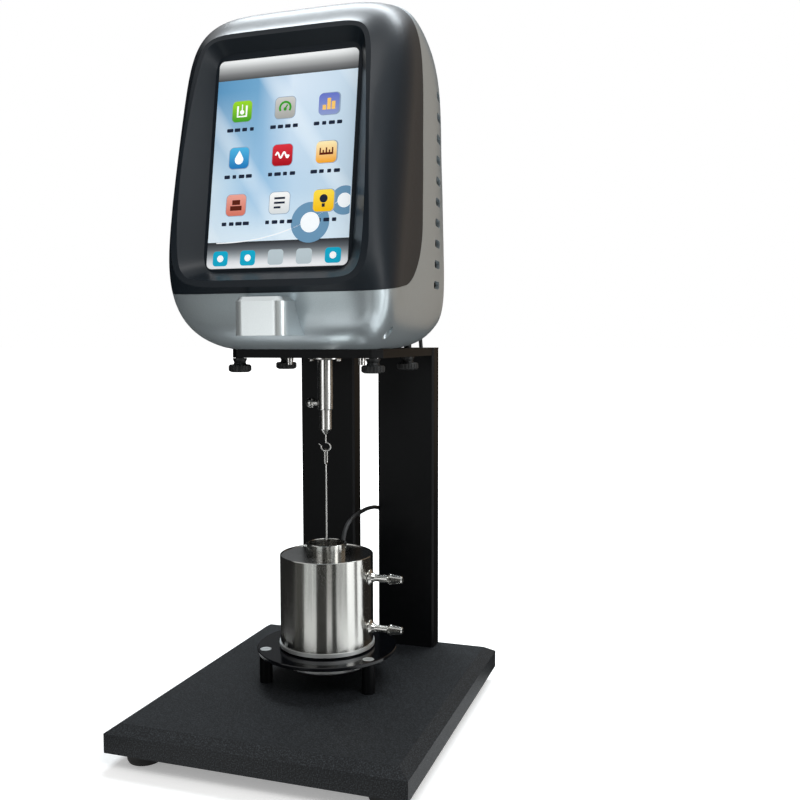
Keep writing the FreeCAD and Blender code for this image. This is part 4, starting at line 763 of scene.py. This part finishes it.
def tapered_tube(name, path, radii, sides=20):
    """A closed tube along a path with a radius at each point."""
    shape = bmesh.new()
    turns = [2 * math.pi * k / sides for k in range(sides)]
    rings = []
    for i, (place, radius) in enumerate(zip(path, radii)):
        along = (path[min(i + 1, len(path) - 1)] - path[max(i - 1, 0)]).normalized()
        side = along.cross(Vector((1, 0, 0))).normalized()
        other = along.cross(side)
        rings.append([shape.verts.new(place + (side * math.cos(t) + other * math.sin(t)) * radius)
                      for t in turns])
    for lower, upper in zip(rings, rings[1:]):
        for k in range(sides):
            after = (k + 1) % sides
            shape.faces.new((lower[k], lower[after], upper[after], upper[k]))
    shape.faces.new(rings[0])
    shape.faces.new(rings[-1])
    bmesh.ops.recalc_face_normals(shape, faces=shape.faces)
    for face in shape.faces:
        face.smooth = len(face.verts) == 4
    mesh = bpy.data.meshes.new(name)
    shape.to_mesh(mesh)
    shape.free()
    return put_in_scene(name, mesh)


places = spline_places(cable)
covered = [p for p in places if (p - places[0]).length < SLEEVE_RUN * MM]
radii = [(SLEEVE_RADIUS - SLEEVE_TAPER * i / (len(covered) - 1)) * MM for i in range(len(covered))]
sleeve = tapered_tube("cable_sleeve", covered, radii)
# the first 24 mm of the cable are coloured dark grey, paler than the black lead
dress(sleeve, moulded_plastic("dark_grey_sleeve", "#2C2E30", 0.5))
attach(sleeve, "stand")

# %% [markdown]
# The bench is a plain pale floor that fades into a white room. World and floor show white to the
# camera and in reflections, and light the object more softly than that. Near the object the floor
# glows less, so that its shadow stays. The room is measured in metres.

# %% Floor and room
FLOOR_HALF = 30.0
GLOW_START, GLOW_FULL = 0.25, 1.2
GLOW_NEAR = 0.3
ROOM_LIGHT = 0.5


def seen_directly(tree):
    """1 for rays that show a thing itself: from the camera, a reflection or through glass."""
    sight = add(tree, "ShaderNodeLightPath").outputs
    seen = maths(tree, "MAXIMUM", sight["Is Camera Ray"], sight["Is Glossy Ray"])
    return maths(tree, "MAXIMUM", seen, sight["Is Transmission Ray"])


def stage_piece(name, shape, material):
    mesh = bpy.data.meshes.new(name)
    shape.to_mesh(mesh)
    shape.free()
    made = put_in_scene(name, mesh)
    dress(made, material)
    return made


def make_floor():
    shape = bmesh.new()
    bmesh.ops.create_grid(shape, x_segments=1, y_segments=1, size=FLOOR_HALF)
    material, tree, shader = start_material("pale_bench", "#F4F4F3", 0.9, Specular_IOR_Level=0.0)
    far = add(tree, "ShaderNodeVectorMath", {0: own_place(tree)}, operation="LENGTH")
    rise = between(tree, far.outputs["Value"], GLOW_START, GLOW_FULL, GLOW_NEAR, 1.0)
    glow = maths(tree, "MULTIPLY", seen_directly(tree), rise)
    shader.inputs["Emission Color"].default_value = (1, 1, 1, 1)
    tree.links.new(glow, shader.inputs["Emission Strength"])
    stage_piece("floor", shape, material)


def make_world():
    world = bpy.data.worlds.new("white_room")
    bpy.context.scene.world = world
    world.use_nodes = True
    tree = world.node_tree
    background = tree.nodes["Background"]
    strength = between(tree, seen_directly(tree), 0.0, 1.0, ROOM_LIGHT, 1.0)
    tree.links.new(strength, background.inputs["Strength"])
    background.inputs["Color"].default_value = (1, 1, 1, 1)


make_floor()
make_world()

# %% [markdown]
# Polished metal shows what stands round it, and in an empty white room it would look like paper. A
# photographer puts paper panels round the bench and on it. Here they are strips of a large drum
# and of the floor that only reflections see: dark, grey and warm ones, with the white room between
# them. Angles count from the camera's side, to the right as the camera sees it. A standing strip
# gives its lower and upper edge, a lying one the radius where it starts.

# %% Paper panels
DRUM_RADIUS = 1.7
FLOOR_PAPER_HEIGHT = 0.002
PANEL_STEP = 5
CAMERA_SIDE = math.degrees(math.atan2(CAMERA_PLACE.x, -CAMERA_PLACE.y))


def panel(name, start, end, near, far, tone):
    """A strip between two angles in degrees; near and far are (radius, height) of its edges."""
    shape = bmesh.new()
    steps = max(2, round((end - start) / PANEL_STEP))
    pairs = []
    for i in range(steps + 1):
        turn = math.radians(CAMERA_SIDE + start + (end - start) * i / steps)
        pairs.append([shape.verts.new((radius * math.sin(turn), -radius * math.cos(turn), height))
                      for radius, height in (near, far)])
    for (a, b), (c, d) in zip(pairs, pairs[1:]):
        shape.faces.new((a, c, d, b))
    material = start_material(name + "_paper", "#000000", 1.0, Specular_IOR_Level=0.0,
                              Emission_Color=colour(tone), Emission_Strength=1.0)[0]
    material.cycles.emission_sampling = "NONE"
    made = stage_piece(name, shape, material)
    made.visible_camera = made.visible_diffuse = False
    made.visible_shadow = made.visible_transmission = False


STANDING = [
    ("back_left", -180, -166, 0.0, 1.7, "#6E7072"), ("left_dark", -166, -84, 0.0, 1.7, "#1E1F20"),
    ("left_grey", -84, -58, 0.0, 1.7, "#4A4A47"), ("front_left_top", -58, -25, 0.6, 1.7, "#141517"),
    ("front_dark", -25, 0, 0.0, 1.7, "#3A3935"), ("front_pale", 0, 12, 0.0, 0.6, "#B0AFAA"),
    ("front_pale_top", 0, 12, 0.6, 1.7, "#141517"), ("front_grey", 12, 23, 0.0, 1.7, "#55534E"),
    ("front_right_low", 23, 50, 0.0, 0.6, "#C4C6C6"), ("front_right_top", 23, 69, 0.6, 1.7, "#64707A"),
    ("right_grey", 69, 92, 0.0, 1.7, "#8A8A88"), ("right_warm", 92, 152, 0.0, 1.7, "#928270"),
    ("back_dark", 152, 180, 0.0, 1.7, "#26282A"),
]
LYING = [
    ("floor_left_dark", -180, -83, 0.19, "#2E2E2D"), ("floor_left_grey", -83, -56, 0.19, "#5A5A57"),
    ("floor_left_pale", -56, -25, 0.3, "#D1D6D5"), ("floor_front_dark", -25, 0, 0.17, "#454543"),
    ("floor_front_pale", 0, 12, 0.3, "#B3B3B0"), ("floor_front_grey", 12, 23, 0.17, "#333432"),
    ("floor_right_pale", 23, 50, 0.3, "#CCCFCE"), ("floor_right_grey", 69, 78, 0.24, "#A0A0A0"),
    ("floor_right_warm", 93, 152, 0.17, "#2E2C29"), ("floor_back_dark", 152, 180, 0.24, "#26282A"),
]
for name, start, end, low, high, tone in STANDING:
    panel(name, start, end, (DRUM_RADIUS, low), (DRUM_RADIUS, high), tone)
for name, start, end, inner, tone in LYING:
    panel(name, start, end, (DRUM_RADIUS, FLOOR_PAPER_HEIGHT), (inner, FLOOR_PAPER_HEIGHT), tone)
print("panels", len(STANDING), "and", len(LYING))

# %% [markdown]
# Four soft lamps shape the object. A broad one over and behind it draws the pale line along the
# crest of the black bezel, one over the camera lights the nose, one stands on the right, and a
# weak one on the left front. A lamp is given by its angle from the camera's side, its distance,
# its height, its size and its brightness as a reflection shows it, where 1 is white. Its power
# follows from the last two.

# %% Lamps
LAMP_AIM = Vector((0, 0, 0.3))


def lamp(name, angle, distance, height, size, brightness, tint="#FFFFFF"):
    turn = math.radians(CAMERA_SIDE + angle)
    place = Vector((distance * math.sin(turn), -distance * math.cos(turn), height))
    light = bpy.data.lights.new(name, "AREA")
    light.shape = "RECTANGLE"
    light.color = colour(tint)[:3]
    light.size, light.size_y = size
    light.energy = brightness * math.pi * size[0] * size[1]
    made = put_in_scene(name, light)
    made.location = place
    made.rotation_euler = (LAMP_AIM - place).to_track_quat("-Z", "Y").to_euler()
    print(name, [round(c, 2) for c in place], round(light.energy, 1), "W")


lamp("overhead_lamp", 157, 0.75, 1.75, (1.7, 0.4), 15.0, "#F0F9FF")
lamp("front_lamp", 28, 1.2, 1.35, (0.8, 0.5), 7.5)
lamp("right_lamp", 58, 1.5, 0.6, (0.45, 1.0), 3.0)
lamp("left_lamp", -38, 1.5, 0.25, (0.4, 0.4), 1.0)

# %% Close the script
bpy.context.scene.view_settings.view_transform = "Standard"
